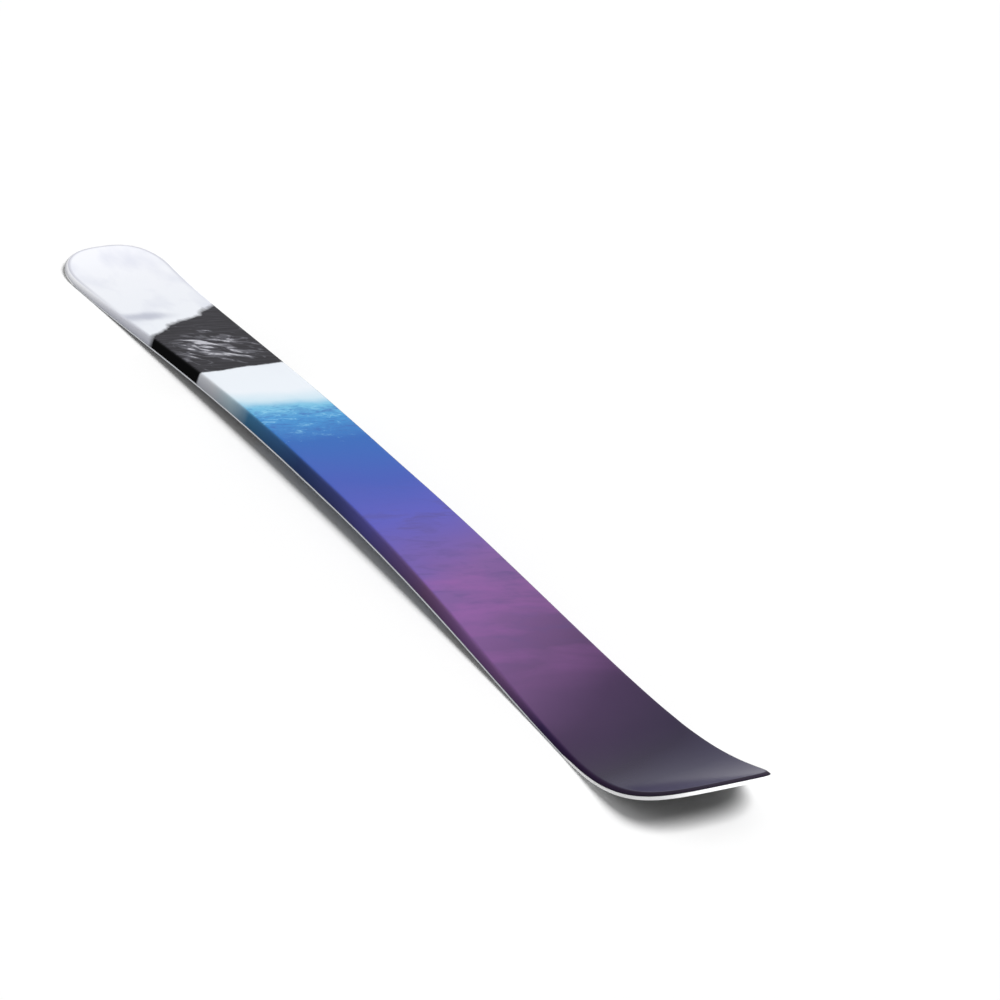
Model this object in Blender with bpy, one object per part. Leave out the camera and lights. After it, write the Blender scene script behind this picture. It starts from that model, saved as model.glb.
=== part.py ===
"""A short, wide backcountry ski with a climbing skin set into its base, as an assembly of its layers.

Every piece is first laid out on a straight blank: x runs along the ski with the tip at +X, y runs across it, and
the level is the height above the running surface. One function then bends the blank to the ski's side profile, so
that the layers stay nested from tip to tail. A piece's edge is given by its inset, the distance inward from the
outline. All sizes are in metres, and the ski rests on Z = 0.
"""

import math

import bmesh
import bpy
import numpy as np

# Outline seen from above. The end widths are the sidecut's, where it runs into the rounding of tip and tail
LENGTH = 1.600
SHOVEL_WIDTH = 0.1222
WAIST_WIDTH = 0.0960
TAIL_WIDTH = 0.1214
WAIST_X = 0.002
TIP_ROUND = 0.190
TIP_ROUND_POWER = 2.92
TIP_ROUND_ROOT = 3.22
TAIL_ROUND = 0.095
TAIL_ROUND_POWER = 2.37
TAIL_ROUND_ROOT = 2.61

# Side profile: a flat platform for the binding, camber to two flat contact zones, then a rise to each end
PLATFORM_X = -0.020
PLATFORM_LENGTH = 0.120
CAMBER = 0.0145
CAMBER_POWER = 1.61
FRONT_CONTACT_SETBACK = 0.2223
REAR_CONTACT_SETBACK = 0.1264
CONTACT_LENGTH = 0.030
TIP_RISE = 0.0505
TIP_RISE_POWER = 2.24
TAIL_RISE = 0.0075
TAIL_RISE_POWER = 2.03

# Thickness, from the platform to both ends
PLATFORM_THICKNESS = 0.0167
END_THICKNESS = 0.0066
FRONT_TAPER = 0.56
REAR_TAPER = 0.68
TAPER_POWER = 1.58

# Flanks of the cap: how far the shoulder stands in from the outline, and how round it is
SHOULDER_INSET = 0.0045
END_SHOULDER_INSET = 0.0030
SHOULDER_RADIUS = 0.0040

# Layers
LAYER_GAP = 0.0003
BASE_THICKNESS = 0.0012
LOWER_LAMINATE_THICKNESS = 0.0008
UPPER_LAMINATE_THICKNESS = 0.0006
TOPSHEET_THICKNESS = 0.0007
MAT_THICKNESS = 0.0006
MAT_LENGTH = 0.320
MAT_STEP = 0.001

# Steel edges with an anchor flange cut into teeth
EDGE_TIP_SETBACK = 0.201
EDGE_TAIL_SETBACK = 0.087
EDGE_BODY_WIDTH = 0.0020
EDGE_END_MITRE = 0.0010
FLANGE_THICKNESS = 0.0005
FLANGE_REACH = 0.0078
FLANGE_ROOT = 0.0004
TOOTH_LENGTH = 0.020
TOOTH_SLOT = 0.010
TOOTH_TAPER = 0.002
PLAIN_EDGE_END = 0.010

# Rubber foil between edge and cap
FOIL_WIDTH = 0.0034

# End spacers: a block at core level, a rim round the base and two tongues beside the edges
RIM_WIDTH = 0.0080
RIM_RAMP = 0.020
TONGUE_LENGTH = 0.018
TONGUE_ROOT_STEP = 0.0004
TONGUE_END_WIDTH = 0.0030

# Core
CORE_TIP_SETBACK = 0.085
CORE_TAIL_SETBACK = 0.075
CORE_STRIPS = 7

# Climbing skin, with the same lobe cut at both ends
SKIN_FRONT_X = 0.316
SKIN_REAR_X = -0.184
SKIN_LOBE_LENGTH = 0.060
SKIN_LOBE_HALF_WIDTH = 0.023
SKIN_LOBE_POWER = 5.5
SKIN_BACKING_THICKNESS = 0.0005
SKIN_PILE_THICKNESS = 0.0010

# How finely the curves are cut into faces
CAMBER_SPACING = 0.070
RISE_SPACING = 0.020
END_STATIONS = 16
TURN_PACE = 0.100
SHOULDER_SEGMENTS = 3
LOBE_POINTS = 45
DENSE_POINTS = 500
MERGE_DISTANCE = 0.000001
CUTTER_MARGIN = 0.010
SHARP_ANGLE = math.radians(28)

# Levels above the running surface and places along the ski, worked out from the sizes above
FLANGE_BOTTOM = BASE_THICKNESS + LAYER_GAP
EDGE_HEIGHT = FLANGE_BOTTOM + FLANGE_THICKNESS
LOWER_LAMINATE_BOTTOM = EDGE_HEIGHT + LAYER_GAP
RIM_HEIGHT = LOWER_LAMINATE_BOTTOM + LOWER_LAMINATE_THICKNESS
CORE_FLOOR = RIM_HEIGHT + LAYER_GAP
LAMINATE_DEPTH = TOPSHEET_THICKNESS + LAYER_GAP
LINING_DEPTH = LAMINATE_DEPTH + UPPER_LAMINATE_THICKNESS
CORE_DEPTH = LINING_DEPTH + LAYER_GAP
BASE_INSET = EDGE_BODY_WIDTH + LAYER_GAP
INNER_INSET = RIM_WIDTH + LAYER_GAP
TIP_X = LENGTH / 2
TAIL_X = -LENGTH / 2
TIP_ROUND_START = TIP_X - TIP_ROUND
TAIL_ROUND_START = TAIL_X + TAIL_ROUND
PLATFORM_FRONT = PLATFORM_X + PLATFORM_LENGTH / 2
PLATFORM_REAR = PLATFORM_X - PLATFORM_LENGTH / 2
FRONT_CONTACT = TIP_X - FRONT_CONTACT_SETBACK
REAR_CONTACT = TAIL_X + REAR_CONTACT_SETBACK
CAMBER_FRONT = FRONT_CONTACT - CONTACT_LENGTH / 2
CAMBER_REAR = REAR_CONTACT + CONTACT_LENGTH / 2
RISE_FRONT = FRONT_CONTACT + CONTACT_LENGTH / 2
RISE_REAR = REAR_CONTACT - CONTACT_LENGTH / 2
EDGE_FRONT = TIP_X - EDGE_TIP_SETBACK
EDGE_REAR = TAIL_X + EDGE_TAIL_SETBACK
CORE_FRONT = TIP_X - CORE_TIP_SETBACK
CORE_REAR = TAIL_X + CORE_TAIL_SETBACK
BLOCK_FRONT = CORE_FRONT + LAYER_GAP
BLOCK_REAR = CORE_REAR - LAYER_GAP
MAT_FRONT = PLATFORM_X + MAT_LENGTH / 2
MAT_REAR = PLATFORM_X - MAT_LENGTH / 2


def side_half_width(x):
    """Half width of the sidecut: a parabola each way from the waist."""
    ahead = x > WAIST_X
    end_x = np.where(ahead, TIP_ROUND_START, TAIL_ROUND_START)
    end_width = np.where(ahead, SHOVEL_WIDTH, TAIL_WIDTH)
    share = (x - WAIST_X) / (end_x - WAIST_X)
    return (WAIST_WIDTH + (end_width - WAIST_WIDTH) * share**2) / 2


def rounded_end(start, length, power, root):
    """Points of one end, from its start to the middle of its front: the sidecut closed by a blunt curve."""
    closing = np.sin(np.linspace(0, math.pi / 2, DENSE_POINTS))
    along = np.sin(closing * math.pi / 2)
    x = start + length * along
    return x, side_half_width(x) * np.clip(1 - along**power, 0, 1) ** (1 / root)


class Outline:
    """The left half of the outline, as close points from the middle of the tail to the middle of the tip."""

    def __init__(self):
        tip_x, tip_w = rounded_end(TIP_ROUND_START, TIP_ROUND, TIP_ROUND_POWER, TIP_ROUND_ROOT)
        tail_x, tail_w = rounded_end(TAIL_ROUND_START, -TAIL_ROUND, TAIL_ROUND_POWER, TAIL_ROUND_ROOT)
        side_x = np.linspace(TAIL_ROUND_START, TIP_ROUND_START, DENSE_POINTS)[1:-1]
        self.x = np.concatenate([tail_x[::-1], side_x, tip_x])
        self.width = np.concatenate([tail_w[::-1], side_half_width(side_x), tip_w])
        steps = np.hypot(np.diff(self.x), np.diff(self.width))
        self.run = np.concatenate([[0], np.cumsum(steps)])
        slope_x = np.gradient(self.x, self.run)
        slope_w = np.gradient(self.width, self.run)
        size = np.hypot(slope_x, slope_w)
        self.normal_x = -slope_w / size
        self.normal_y = slope_x / size
        self.normal_x[[0, -1]] = -1, 1
        self.normal_y[[0, -1]] = 0, 0
        turns = np.abs(np.diff(np.unwrap(np.arctan2(self.normal_y, self.normal_x))))
        self.pace = self.run + TURN_PACE * np.concatenate([[0], np.cumsum(turns)])

    def run_at(self, x):
        """Distance along the outline of the point at x."""
        return float(np.interp(x, self.x, self.run))

    def x_at(self, run):
        """The x of the point at this distance along the outline."""
        return float(np.interp(run, self.run, self.x))

    def half_width(self, x, inset):
        """Half width at x of the outline moved inward by inset."""
        inner = self.width > 0
        moved_x = (self.x - inset * self.normal_x)[inner]
        moved_y = (self.width - inset * self.normal_y)[inner]
        return float(np.interp(x, moved_x, moved_y))

    def place(self, run, inset):
        """The point at this distance along the outline, moved inward: straight across on the sides, along the
        normal round the ends."""
        x = self.x_at(run)
        if BLOCK_REAR <= x <= BLOCK_FRONT:
            return x, self.half_width(x, inset)
        normal_x = np.interp(run, self.run, self.normal_x)
        normal_y = np.interp(run, self.run, self.normal_y)
        return x - inset * normal_x, float(np.interp(run, self.run, self.width)) - inset * normal_y


OUTLINE = Outline()


def off_platform(x, front_reach, rear_reach):
    """Share of the way from the binding platform to the end of a reach, ahead or behind."""
    ahead = np.clip(x - PLATFORM_FRONT, 0, None) / front_reach
    behind = np.clip(PLATFORM_REAR - x, 0, None) / rear_reach
    return np.clip(ahead + behind, 0, 1)


def base_height(x):
    """Height of the running surface: camber, plus the rise of tip and tail."""
    share = off_platform(x, CAMBER_FRONT - PLATFORM_FRONT, PLATFORM_REAR - CAMBER_REAR)
    tip_share = np.clip((x - RISE_FRONT) / (TIP_X - RISE_FRONT), 0, None)
    tail_share = np.clip((RISE_REAR - x) / (RISE_REAR - TAIL_X), 0, None)
    rise = TIP_RISE * tip_share**TIP_RISE_POWER + TAIL_RISE * tail_share**TAIL_RISE_POWER
    return CAMBER * (1 - share**2) ** CAMBER_POWER + rise


def thickness(x):
    """Thickness of the ski, square to its running surface."""
    share = off_platform(x, FRONT_TAPER, REAR_TAPER)
    return END_THICKNESS + (PLATFORM_THICKNESS - END_THICKNESS) * (1 - share**2) ** TAPER_POWER


def bend(points):
    """Moves points from the blank onto the side profile, each level square to the running surface."""
    x, y, level = points.T
    probe = LAYER_GAP / 10
    tilt = np.arctan((base_height(x + probe) - base_height(x - probe)) / (2 * probe))
    return np.stack([x - level * np.sin(tilt), y, base_height(x) + level * np.cos(tilt)], axis=1)


def rim_height(x):
    """Height of a spacer's rim: level with the edge where it meets it, then up to its full height."""
    beyond = max(x - EDGE_FRONT, EDGE_REAR - x) - LAYER_GAP
    return EDGE_HEIGHT + (RIM_HEIGHT - EDGE_HEIGHT) * min(max(beyond / RIM_RAMP, 0), 1)


def flank(x):
    """Foot level of the topsheet and the tangent of the flank's lean."""
    foot = rim_height(x) + LAYER_GAP
    height = float(thickness(x))
    share = (height - END_THICKNESS) / (PLATFORM_THICKNESS - END_THICKNESS)
    inset = END_SHOULDER_INSET + (SHOULDER_INSET - END_SHOULDER_INSET) * share
    return foot, inset / (height - foot)


def flank_inset(x, depth, level):
    """Inset of the surface that lies this deep under the topsheet's flank, at a level."""
    foot, lean = flank(x)
    return depth * math.hypot(1, lean) + (level - foot) * lean


def shoulder_tangent(x, depth):
    """Radius of the shoulder this deep under the outside, and how far from the corner its round starts."""
    lean = math.atan(flank(x)[1])
    radius = max(SHOULDER_RADIUS - depth, 0)
    return radius, radius * math.tan((math.pi / 2 - lean) / 2)


def core_shoulder_inset(x, top):
    """Inset of the upper corner of whatever fills the cap, clear of the laminate's rounded lining."""
    return flank_inset(x, CORE_DEPTH, top) + shoulder_tangent(x, LINING_DEPTH)[1]


def cap_side(x, depth, foot, segments):
    """Insets and levels of a cap surface this deep under the outside, from its foot over the shoulder."""
    lean = math.atan(flank(x)[1])
    top = float(thickness(x)) - depth
    corner = flank_inset(x, depth, top)
    radius, tangent = shoulder_tangent(x, depth)
    angles = np.linspace(lean, math.pi / 2, segments + 1)
    insets = corner + tangent - radius * np.cos(angles)
    levels = top - radius + radius * np.sin(angles)
    return [(flank_inset(x, depth, foot), foot), *zip(insets, levels)]


def inner_points(start, end, spacing):
    """Evenly spaced values between two places, without the places themselves."""
    count = max(math.ceil((end - start) / spacing - MERGE_DISTANCE), 1)
    return [start + (end - start) * k / count for k in range(1, count)]


def side_stations():
    """Every x on the sides where all layers have a row of corners."""
    fixed = [
        BLOCK_REAR,
        CORE_REAR,
        EDGE_REAR - LAYER_GAP - RIM_RAMP,
        EDGE_REAR - LAYER_GAP,
        RISE_REAR,
        CAMBER_REAR,
        PLATFORM_REAR,
        PLATFORM_FRONT,
        CAMBER_FRONT,
        RISE_FRONT,
        EDGE_FRONT + LAYER_GAP,
        EDGE_FRONT + LAYER_GAP + RIM_RAMP,
        CORE_FRONT,
        BLOCK_FRONT,
    ]
    fixed = sorted(x for x in fixed if BLOCK_REAR <= x <= BLOCK_FRONT)
    stations = list(fixed)
    for start, end in zip(fixed, fixed[1:]):
        if start >= PLATFORM_REAR and end <= PLATFORM_FRONT:
            continue
        cambered = start >= CAMBER_REAR and end <= CAMBER_FRONT
        stations += inner_points(start, end, CAMBER_SPACING if cambered else RISE_SPACING)
    return sorted(set(stations))


SIDE_STATIONS = side_stations()


def end_rows(first, last):
    """Distances along the outline between two others, closer together where it turns."""
    low, high = np.interp([first, last], OUTLINE.run, OUTLINE.pace)
    paces = inner_points(low, high, (high - low) / END_STATIONS)
    return np.interp(paces, OUTLINE.pace, OUTLINE.run).tolist()


def runs_between(start, end, extra=()):
    """Distances along the outline of the rows between two x. An end past the core goes to the middle."""
    first = OUTLINE.run_at(start)
    last = OUTLINE.run_at(end)
    rows = [OUTLINE.run_at(x) for x in (*SIDE_STATIONS, *extra) if start < x < end]
    if start <= TAIL_X:
        rows += end_rows(first, OUTLINE.run_at(BLOCK_REAR))
    if end >= TIP_X:
        rows += end_rows(OUTLINE.run_at(BLOCK_FRONT), last)
    rows = sorted([first, last, *rows])
    return [a for a, b in zip(rows, rows[1:]) if b - a > MERGE_DISTANCE] + [last]


def linear(hex_colour):
    """A display colour written as hex digits, in linear values."""
    values = [int(hex_colour[k : k + 2], 16) / 255 for k in (0, 2, 4)]
    return [v / 12.92 if v <= 0.04045 else ((v + 0.055) / 1.055) ** 2.4 for v in values] + [1]


def finish(name, hex_colour, roughness, metallic=0.0):
    """A material with one colour, roughness and metallic value."""
    material = bpy.data.materials.new(name)
    material.use_nodes = True
    shader = material.node_tree.nodes["Principled BSDF"]
    shader.inputs["Base Color"].default_value = linear(hex_colour)
    shader.inputs["Roughness"].default_value = roughness
    shader.inputs["Metallic"].default_value = metallic
    material.diffuse_color = linear(hex_colour)
    return material


def closed_mesh(name, points, faces):
    """A mesh of blank points whose doubles are merged and whose faces point out."""
    mesh = bpy.data.meshes.new(name)
    mesh.from_pydata(np.asarray(points, float).tolist(), [], [list(map(int, face)) for face in faces])
    body = bmesh.new()
    body.from_mesh(mesh)
    bmesh.ops.remove_doubles(body, verts=body.verts, dist=MERGE_DISTANCE)
    bmesh.ops.dissolve_degenerate(body, edges=body.edges, dist=MERGE_DISTANCE)
    bmesh.ops.recalc_face_normals(body, faces=body.faces)
    body.to_mesh(mesh)
    body.free()
    return mesh


def add_piece(mesh, material):
    """Bends a blank mesh to the side profile and puts it in the scene under its name."""
    points = np.empty(len(mesh.vertices) * 3)
    mesh.vertices.foreach_get("co", points)
    mesh.vertices.foreach_set("co", bend(points.reshape(-1, 3)).ravel())
    mesh.update()
    mesh.materials.clear()
    mesh.materials.append(material)
    mesh.shade_smooth()
    mesh.set_sharp_from_angle(angle=SHARP_ANGLE)
    piece = bpy.data.objects.new(mesh.name, mesh)
    bpy.context.scene.collection.objects.link(piece)
    return piece


def loft_faces(rows, corners, first=0):
    """Quads between successive closed loops of the same number of corners."""
    faces = []
    for row in range(rows - 1):
        for corner in range(corners):
            beside = (corner + 1) % corners
            here = first + row * corners
            ahead = here + corners
            faces.append([here + corner, here + beside, ahead + beside, ahead + corner])
    return faces


def loft(name, loops, open_ends=()):
    """A closed body through loops of blank points. A loop shrunk to the middle line needs no end face."""
    rows = len(loops)
    corners = len(loops[0])
    faces = loft_faces(rows, corners)
    if "start" not in open_ends:
        faces.append(list(range(corners)))
    if "end" not in open_ends:
        faces.append(list(range((rows - 1) * corners, rows * corners)))
    return closed_mesh(name, np.concatenate(loops), faces)


def mirrored(half):
    """A half loop of blank points on the left, followed by its mirror image in reverse order."""
    half = np.asarray(half, float)
    return np.concatenate([half, half[::-1] * [1, -1, 1]])


def shrunk_ends(start, end):
    """Which ends of a piece close on the middle line, round the tail or the tip."""
    return [name for name, closes in (("start", start <= TAIL_X), ("end", end >= TIP_X)) if closes]


def plate(name, start, end, inset, bottom, top, extra=()):
    """A layer across the whole width. Its inset and levels are functions of x, and extra adds rows."""
    loops = []
    for run in runs_between(start, end, extra):
        x = OUTLINE.x_at(run)
        place = OUTLINE.place(run, inset(x))
        loops.append(mirrored([(*place, bottom(x)), (*place, top(x))]))
    return loft(name, loops, shrunk_ends(start, end))


def cap_shell(name, depth, wall, foot, segments):
    """A shell over the top and down both flanks, closed round tip and tail."""
    loops = []
    for run in runs_between(TAIL_X, TIP_X):
        x = OUTLINE.x_at(run)
        outer = cap_side(x, depth, foot(x), segments)
        inner = cap_side(x, depth + wall, foot(x), segments - 1)
        left = [(*OUTLINE.place(run, inset), level) for inset, level in outer]
        lining = [(*OUTLINE.place(run, inset), level) for inset, level in inner]
        loops.append(np.concatenate([mirrored(left), mirrored(lining)[::-1]]))
    return loft(name, loops, ["start", "end"])


def side_bar(name, side, stations, section):
    """A bar along one side. The section gives insets and levels at x, and its own x for a mitred end."""
    loops = []
    for x in stations:
        corners = section(x)
        places = [OUTLINE.place(OUTLINE.run_at(at), inset) for at, inset, level in corners]
        loops.append(np.array([(px, side * py, corner[2]) for (px, py), corner in zip(places, corners)]))
    return loft(name, loops)


def flange_reach(x):
    """How far in the anchor flange reaches at x: teeth with tapered flanks, and slots between."""
    pitch = TOOTH_LENGTH + TOOTH_SLOT
    root = EDGE_BODY_WIDTH + FLANGE_ROOT
    if x <= EDGE_REAR + PLAIN_EDGE_END or x >= EDGE_FRONT - PLAIN_EDGE_END:
        return root
    along = (x - EDGE_REAR - PLAIN_EDGE_END) % pitch
    corners = [0, TOOTH_TAPER, TOOTH_LENGTH - TOOTH_TAPER, TOOTH_LENGTH]
    return float(np.interp(along, corners, [root, FLANGE_REACH, FLANGE_REACH, root]))


def edge_stations():
    """Rows of a steel edge: the corners of every tooth, and both ends."""
    first = EDGE_REAR + PLAIN_EDGE_END
    room = EDGE_FRONT - PLAIN_EDGE_END - first
    pitch = TOOTH_LENGTH + TOOTH_SLOT
    teeth = int((room - TOOTH_LENGTH) / pitch) + 1
    stations = [EDGE_REAR, EDGE_FRONT]
    for tooth in range(teeth):
        start = first + tooth * pitch
        end = start + TOOTH_LENGTH
        stations += [start, start + TOOTH_TAPER, end - TOOTH_TAPER, end]
    return sorted(stations)


def edge_section(x):
    """Section of a steel edge: a square body with the anchor flange at its top. Its ends are mitred."""
    slant = EDGE_END_MITRE / BASE_INSET
    if x == EDGE_FRONT:
        slant = -slant
    elif x != EDGE_REAR:
        slant = 0
    reach = flange_reach(x)
    corners = [
        (0, 0),
        (0, EDGE_HEIGHT),
        (reach, EDGE_HEIGHT),
        (reach, FLANGE_BOTTOM),
        (EDGE_BODY_WIDTH, FLANGE_BOTTOM),
        (EDGE_BODY_WIDTH, 0),
    ]
    return [(x + slant * inset, inset, level) for inset, level in corners]


def foil_inset(x):
    """Inset of the rubber foil's outer side, clear of the topsheet's lining."""
    return flank_inset(x, TOPSHEET_THICKNESS, RIM_HEIGHT) + LAYER_GAP


def foil_section(x):
    """Section of the rubber foil on top of a steel edge."""
    outer = foil_inset(x)
    inner = outer + FOIL_WIDTH
    corners = [
        (outer, LOWER_LAMINATE_BOTTOM),
        (outer, RIM_HEIGHT),
        (inner, RIM_HEIGHT),
        (inner, LOWER_LAMINATE_BOTTOM),
    ]
    return [(x, inset, level) for inset, level in corners]


def end_share(x):
    """0 along the steel edges, 1 from their ends on, over the length of a tongue between."""
    beyond = max(x - EDGE_FRONT, EDGE_REAR - x)
    return min(max(1 + beyond / TONGUE_LENGTH, 0), 1)


def lower_laminate_inset(x):
    """Beside the foil along the edges, and inside the rim round the ends."""
    beside_foil = foil_inset(x) + FOIL_WIDTH + LAYER_GAP
    return beside_foil + (INNER_INSET - beside_foil) * end_share(x)


def base_laminate_inset(x):
    """Between the anchor flanges along the edges, and inside the rim round the ends."""
    beside_flange = FLANGE_REACH + LAYER_GAP
    return beside_flange + (INNER_INSET - beside_flange) * end_share(x)


def block_section(run):
    """Loop of a spacer where its block spans the ski: rim outside, block on top, rim inside, underside."""
    x = OUTLINE.x_at(run)
    rim = rim_height(x)
    block_top = float(thickness(x)) - CORE_DEPTH
    outside = [
        (0, 0),
        (0, rim),
        (flank_inset(x, CORE_DEPTH, CORE_FLOOR), rim),
        (core_shoulder_inset(x, block_top), block_top),
    ]
    inside = [(RIM_WIDTH, 0), (RIM_WIDTH, rim), (RIM_WIDTH, CORE_FLOOR)]
    outer = [(*OUTLINE.place(run, inset), level) for inset, level in outside]
    inner = [(*OUTLINE.place(run, inset), level) for inset, level in inside]
    return np.concatenate([mirrored(outer), mirrored(inner)[::-1]])


def arm_section(x):
    """Corners of the rim beside the core, as insets and levels."""
    rim = rim_height(x)
    shelf = flank_inset(x, CORE_DEPTH, CORE_FLOOR)
    return [(0, 0), (0, rim), (shelf, rim), (RIM_WIDTH, rim), (RIM_WIDTH, 0)]


def tongue_section(width):
    """Corners of a tongue of this width, between the steel edge's body and the base."""
    inner = BASE_INSET + width
    middle = BASE_INSET + width / 2
    return [
        (BASE_INSET, 0),
        (BASE_INSET, BASE_THICKNESS),
        (middle, BASE_THICKNESS),
        (inner, BASE_THICKNESS),
        (inner, 0),
    ]


def end_spacer(name, edge_end, block_start, tip_end):
    """The spacer of one end: a block with a rim, arms beside the core and a tongue along each edge's end."""
    ahead = 1 if tip_end > edge_end else -1
    root = edge_end + ahead * LAYER_GAP
    runs = runs_between(min(block_start, tip_end), max(block_start, tip_end))[::ahead]
    block = [block_section(run) for run in runs]
    corners = len(block[0])
    points = list(np.concatenate(block))
    faces = loft_faces(len(block), corners)
    # The block's end face stands on the arms: from the left shelf over the top to the right, and back below
    faces.append([2, 3, 4, 5, 9, 10, 11, 12])
    sections = [
        (edge_end - ahead * TONGUE_LENGTH, tongue_section(TONGUE_END_WIDTH)),
        (root - ahead * EDGE_END_MITRE, tongue_section(RIM_WIDTH - TONGUE_ROOT_STEP - BASE_INSET)),
    ]
    low, high = sorted((root, block_start))
    between = [x for x in SIDE_STATIONS if low < x < high]
    arm_stations = sorted({root, block_start, *between}, reverse=ahead < 0)
    sections += [(x, arm_section(x)) for x in arm_stations]
    for side in (1, -1):
        first = len(points)
        for x, section in sections:
            for inset, level in section:
                px, py = OUTLINE.place(OUTLINE.run_at(x), inset)
                points.append(np.array([px, side * py, level]))
        faces += loft_faces(len(sections), len(sections[0][1]), first)
        faces.append(list(range(first, first + len(sections[0][1]))))
    return closed_mesh(name, points, faces)


def base_rows(edge_end, ahead):
    """Places and insets of the base's side, where it steps round a tongue, from the middle outward."""
    root = edge_end + ahead * LAYER_GAP
    tongue_end = edge_end - ahead * (TONGUE_LENGTH + LAYER_GAP)
    return [
        (tongue_end - ahead * EDGE_END_MITRE, BASE_INSET),
        (tongue_end, BASE_INSET + TONGUE_END_WIDTH + LAYER_GAP),
        (root - ahead * EDGE_END_MITRE, INNER_INSET - TONGUE_ROOT_STEP),
        (root, INNER_INSET),
    ]


def base_inset(x):
    """Inset of the running surface: beside the edge, round the tongue, then inside the rim."""
    rows = base_rows(EDGE_FRONT, 1) if x > 0 else base_rows(EDGE_REAR, -1)[::-1]
    return float(np.interp(x, [row[0] for row in rows], [row[1] for row in rows]))


def lobe_line(end_x, shift):
    """The lobed cut across the ski, a flat-topped hump, moved ahead by a shift square to itself."""
    reach = max(SHOVEL_WIDTH, TAIL_WIDTH) / 2
    y = np.linspace(-reach, reach, DENSE_POINTS)
    x = end_x + SKIN_LOBE_LENGTH / (1 + np.abs(y / SKIN_LOBE_HALF_WIDTH) ** SKIN_LOBE_POWER)
    slope = np.gradient(x, y)
    size = np.hypot(1, slope)
    run = np.concatenate([[0], np.cumsum(np.hypot(np.diff(x), np.diff(y)))])
    even = np.linspace(0, run[-1], LOBE_POINTS)
    moved_x = np.interp(even, run, x + shift / size)
    moved_y = np.interp(even, run, y - shift * slope / size)
    return list(zip(moved_x, moved_y))


def cut_beyond(mesh, end_x, shift, ahead):
    """Cuts away the blank mesh ahead of the lobed line, or behind it."""
    line = lobe_line(end_x, shift)
    far = LENGTH * ahead
    reach = max(SHOVEL_WIDTH, TAIL_WIDTH) / 2 + CUTTER_MARGIN
    ring = [(line[0][0], -reach), *line[1:-1], (line[-1][0], reach), (far, reach), (far, -reach)]
    below = [(x, y, -CUTTER_MARGIN) for x, y in ring]
    above = [(x, y, CUTTER_MARGIN) for x, y in ring]
    count = len(ring)
    faces = [list(range(count)), list(range(count, 2 * count))]
    faces += [[k, (k + 1) % count, count + (k + 1) % count, count + k] for k in range(count)]
    cutter = bpy.data.objects.new("lobe_cutter", closed_mesh("lobe_cutter", below + above, faces))
    blank = bpy.data.objects.new("blank", mesh)
    for helper in (cutter, blank):
        helper.hide_render = True
        helper.display_type = "WIRE"
        bpy.context.scene.collection.objects.link(helper)
    boolean = blank.modifiers.new("lobe", "BOOLEAN")
    boolean.operation = "DIFFERENCE"
    boolean.solver = "EXACT"
    boolean.object = cutter
    bpy.context.view_layer.update()
    result = bpy.data.meshes.new_from_object(blank.evaluated_get(bpy.context.evaluated_depsgraph_get()))
    name = mesh.name
    bpy.data.objects.remove(cutter)
    bpy.data.objects.remove(blank)
    bpy.data.meshes.remove(mesh)
    result.name = name
    return result


def add_bases():
    """The running surface ahead of the skin and behind it."""
    black = finish("sintered_black_polyethylene", "2B2B2D", 0.22)
    half_gap = LAYER_GAP / 2
    start = SKIN_FRONT_X - CUTTER_MARGIN
    rows = [row[0] for row in base_rows(EDGE_FRONT, 1)]
    front = plate("base_front", start, TIP_X, base_inset, lambda x: 0, lambda x: BASE_THICKNESS, rows)
    add_piece(cut_beyond(front, SKIN_FRONT_X, half_gap, -1), black)
    end = SKIN_REAR_X + SKIN_LOBE_LENGTH + CUTTER_MARGIN
    rows = [row[0] for row in base_rows(EDGE_REAR, -1)]
    rear = plate("base_rear", TAIL_X, end, base_inset, lambda x: 0, lambda x: BASE_THICKNESS, rows)
    add_piece(cut_beyond(rear, SKIN_REAR_X, -half_gap, 1), black)


def add_skin():
    """The skin's carrier in the base's layer, and the pile that stands slightly proud of the base."""
    half_gap = LAYER_GAP / 2
    start = SKIN_REAR_X - CUTTER_MARGIN
    end = SKIN_FRONT_X + SKIN_LOBE_LENGTH + CUTTER_MARGIN
    backing_bottom = BASE_THICKNESS - SKIN_BACKING_THICKNESS
    pile_top = backing_bottom - LAYER_GAP
    carrier = finish("woven_skin_carrier", "B4BAC2", 0.7)
    mohair = finish("blue_grey_mohair_pile", "5D6B80", 0.95)
    layers = [
        ("skin_backing", backing_bottom, BASE_THICKNESS, carrier),
        ("skin_pile", pile_top - SKIN_PILE_THICKNESS, pile_top, mohair),
    ]
    for name, bottom, top, material in layers:
        blank = plate(name, start, end, lambda x: BASE_INSET, lambda x, b=bottom: b, lambda x, t=top: t)
        blank = cut_beyond(blank, SKIN_FRONT_X, -half_gap, 1)
        add_piece(cut_beyond(blank, SKIN_REAR_X, half_gap, -1), material)


def add_edges():
    """Both steel edges and the rubber foils on top of them."""
    steel = finish("hardened_steel", "7C7F84", 0.3, 1.0)
    rubber = finish("black_rubber_foil", "1C1C1E", 0.9)
    foil_rows = [EDGE_REAR, *(x for x in SIDE_STATIONS if EDGE_REAR < x < EDGE_FRONT), EDGE_FRONT]
    for word, side in (("left", 1), ("right", -1)):
        add_piece(side_bar(f"steel_edge_{word}", side, edge_stations(), edge_section), steel)
        add_piece(side_bar(f"edge_foil_{word}", side, foil_rows, foil_section), rubber)


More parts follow.
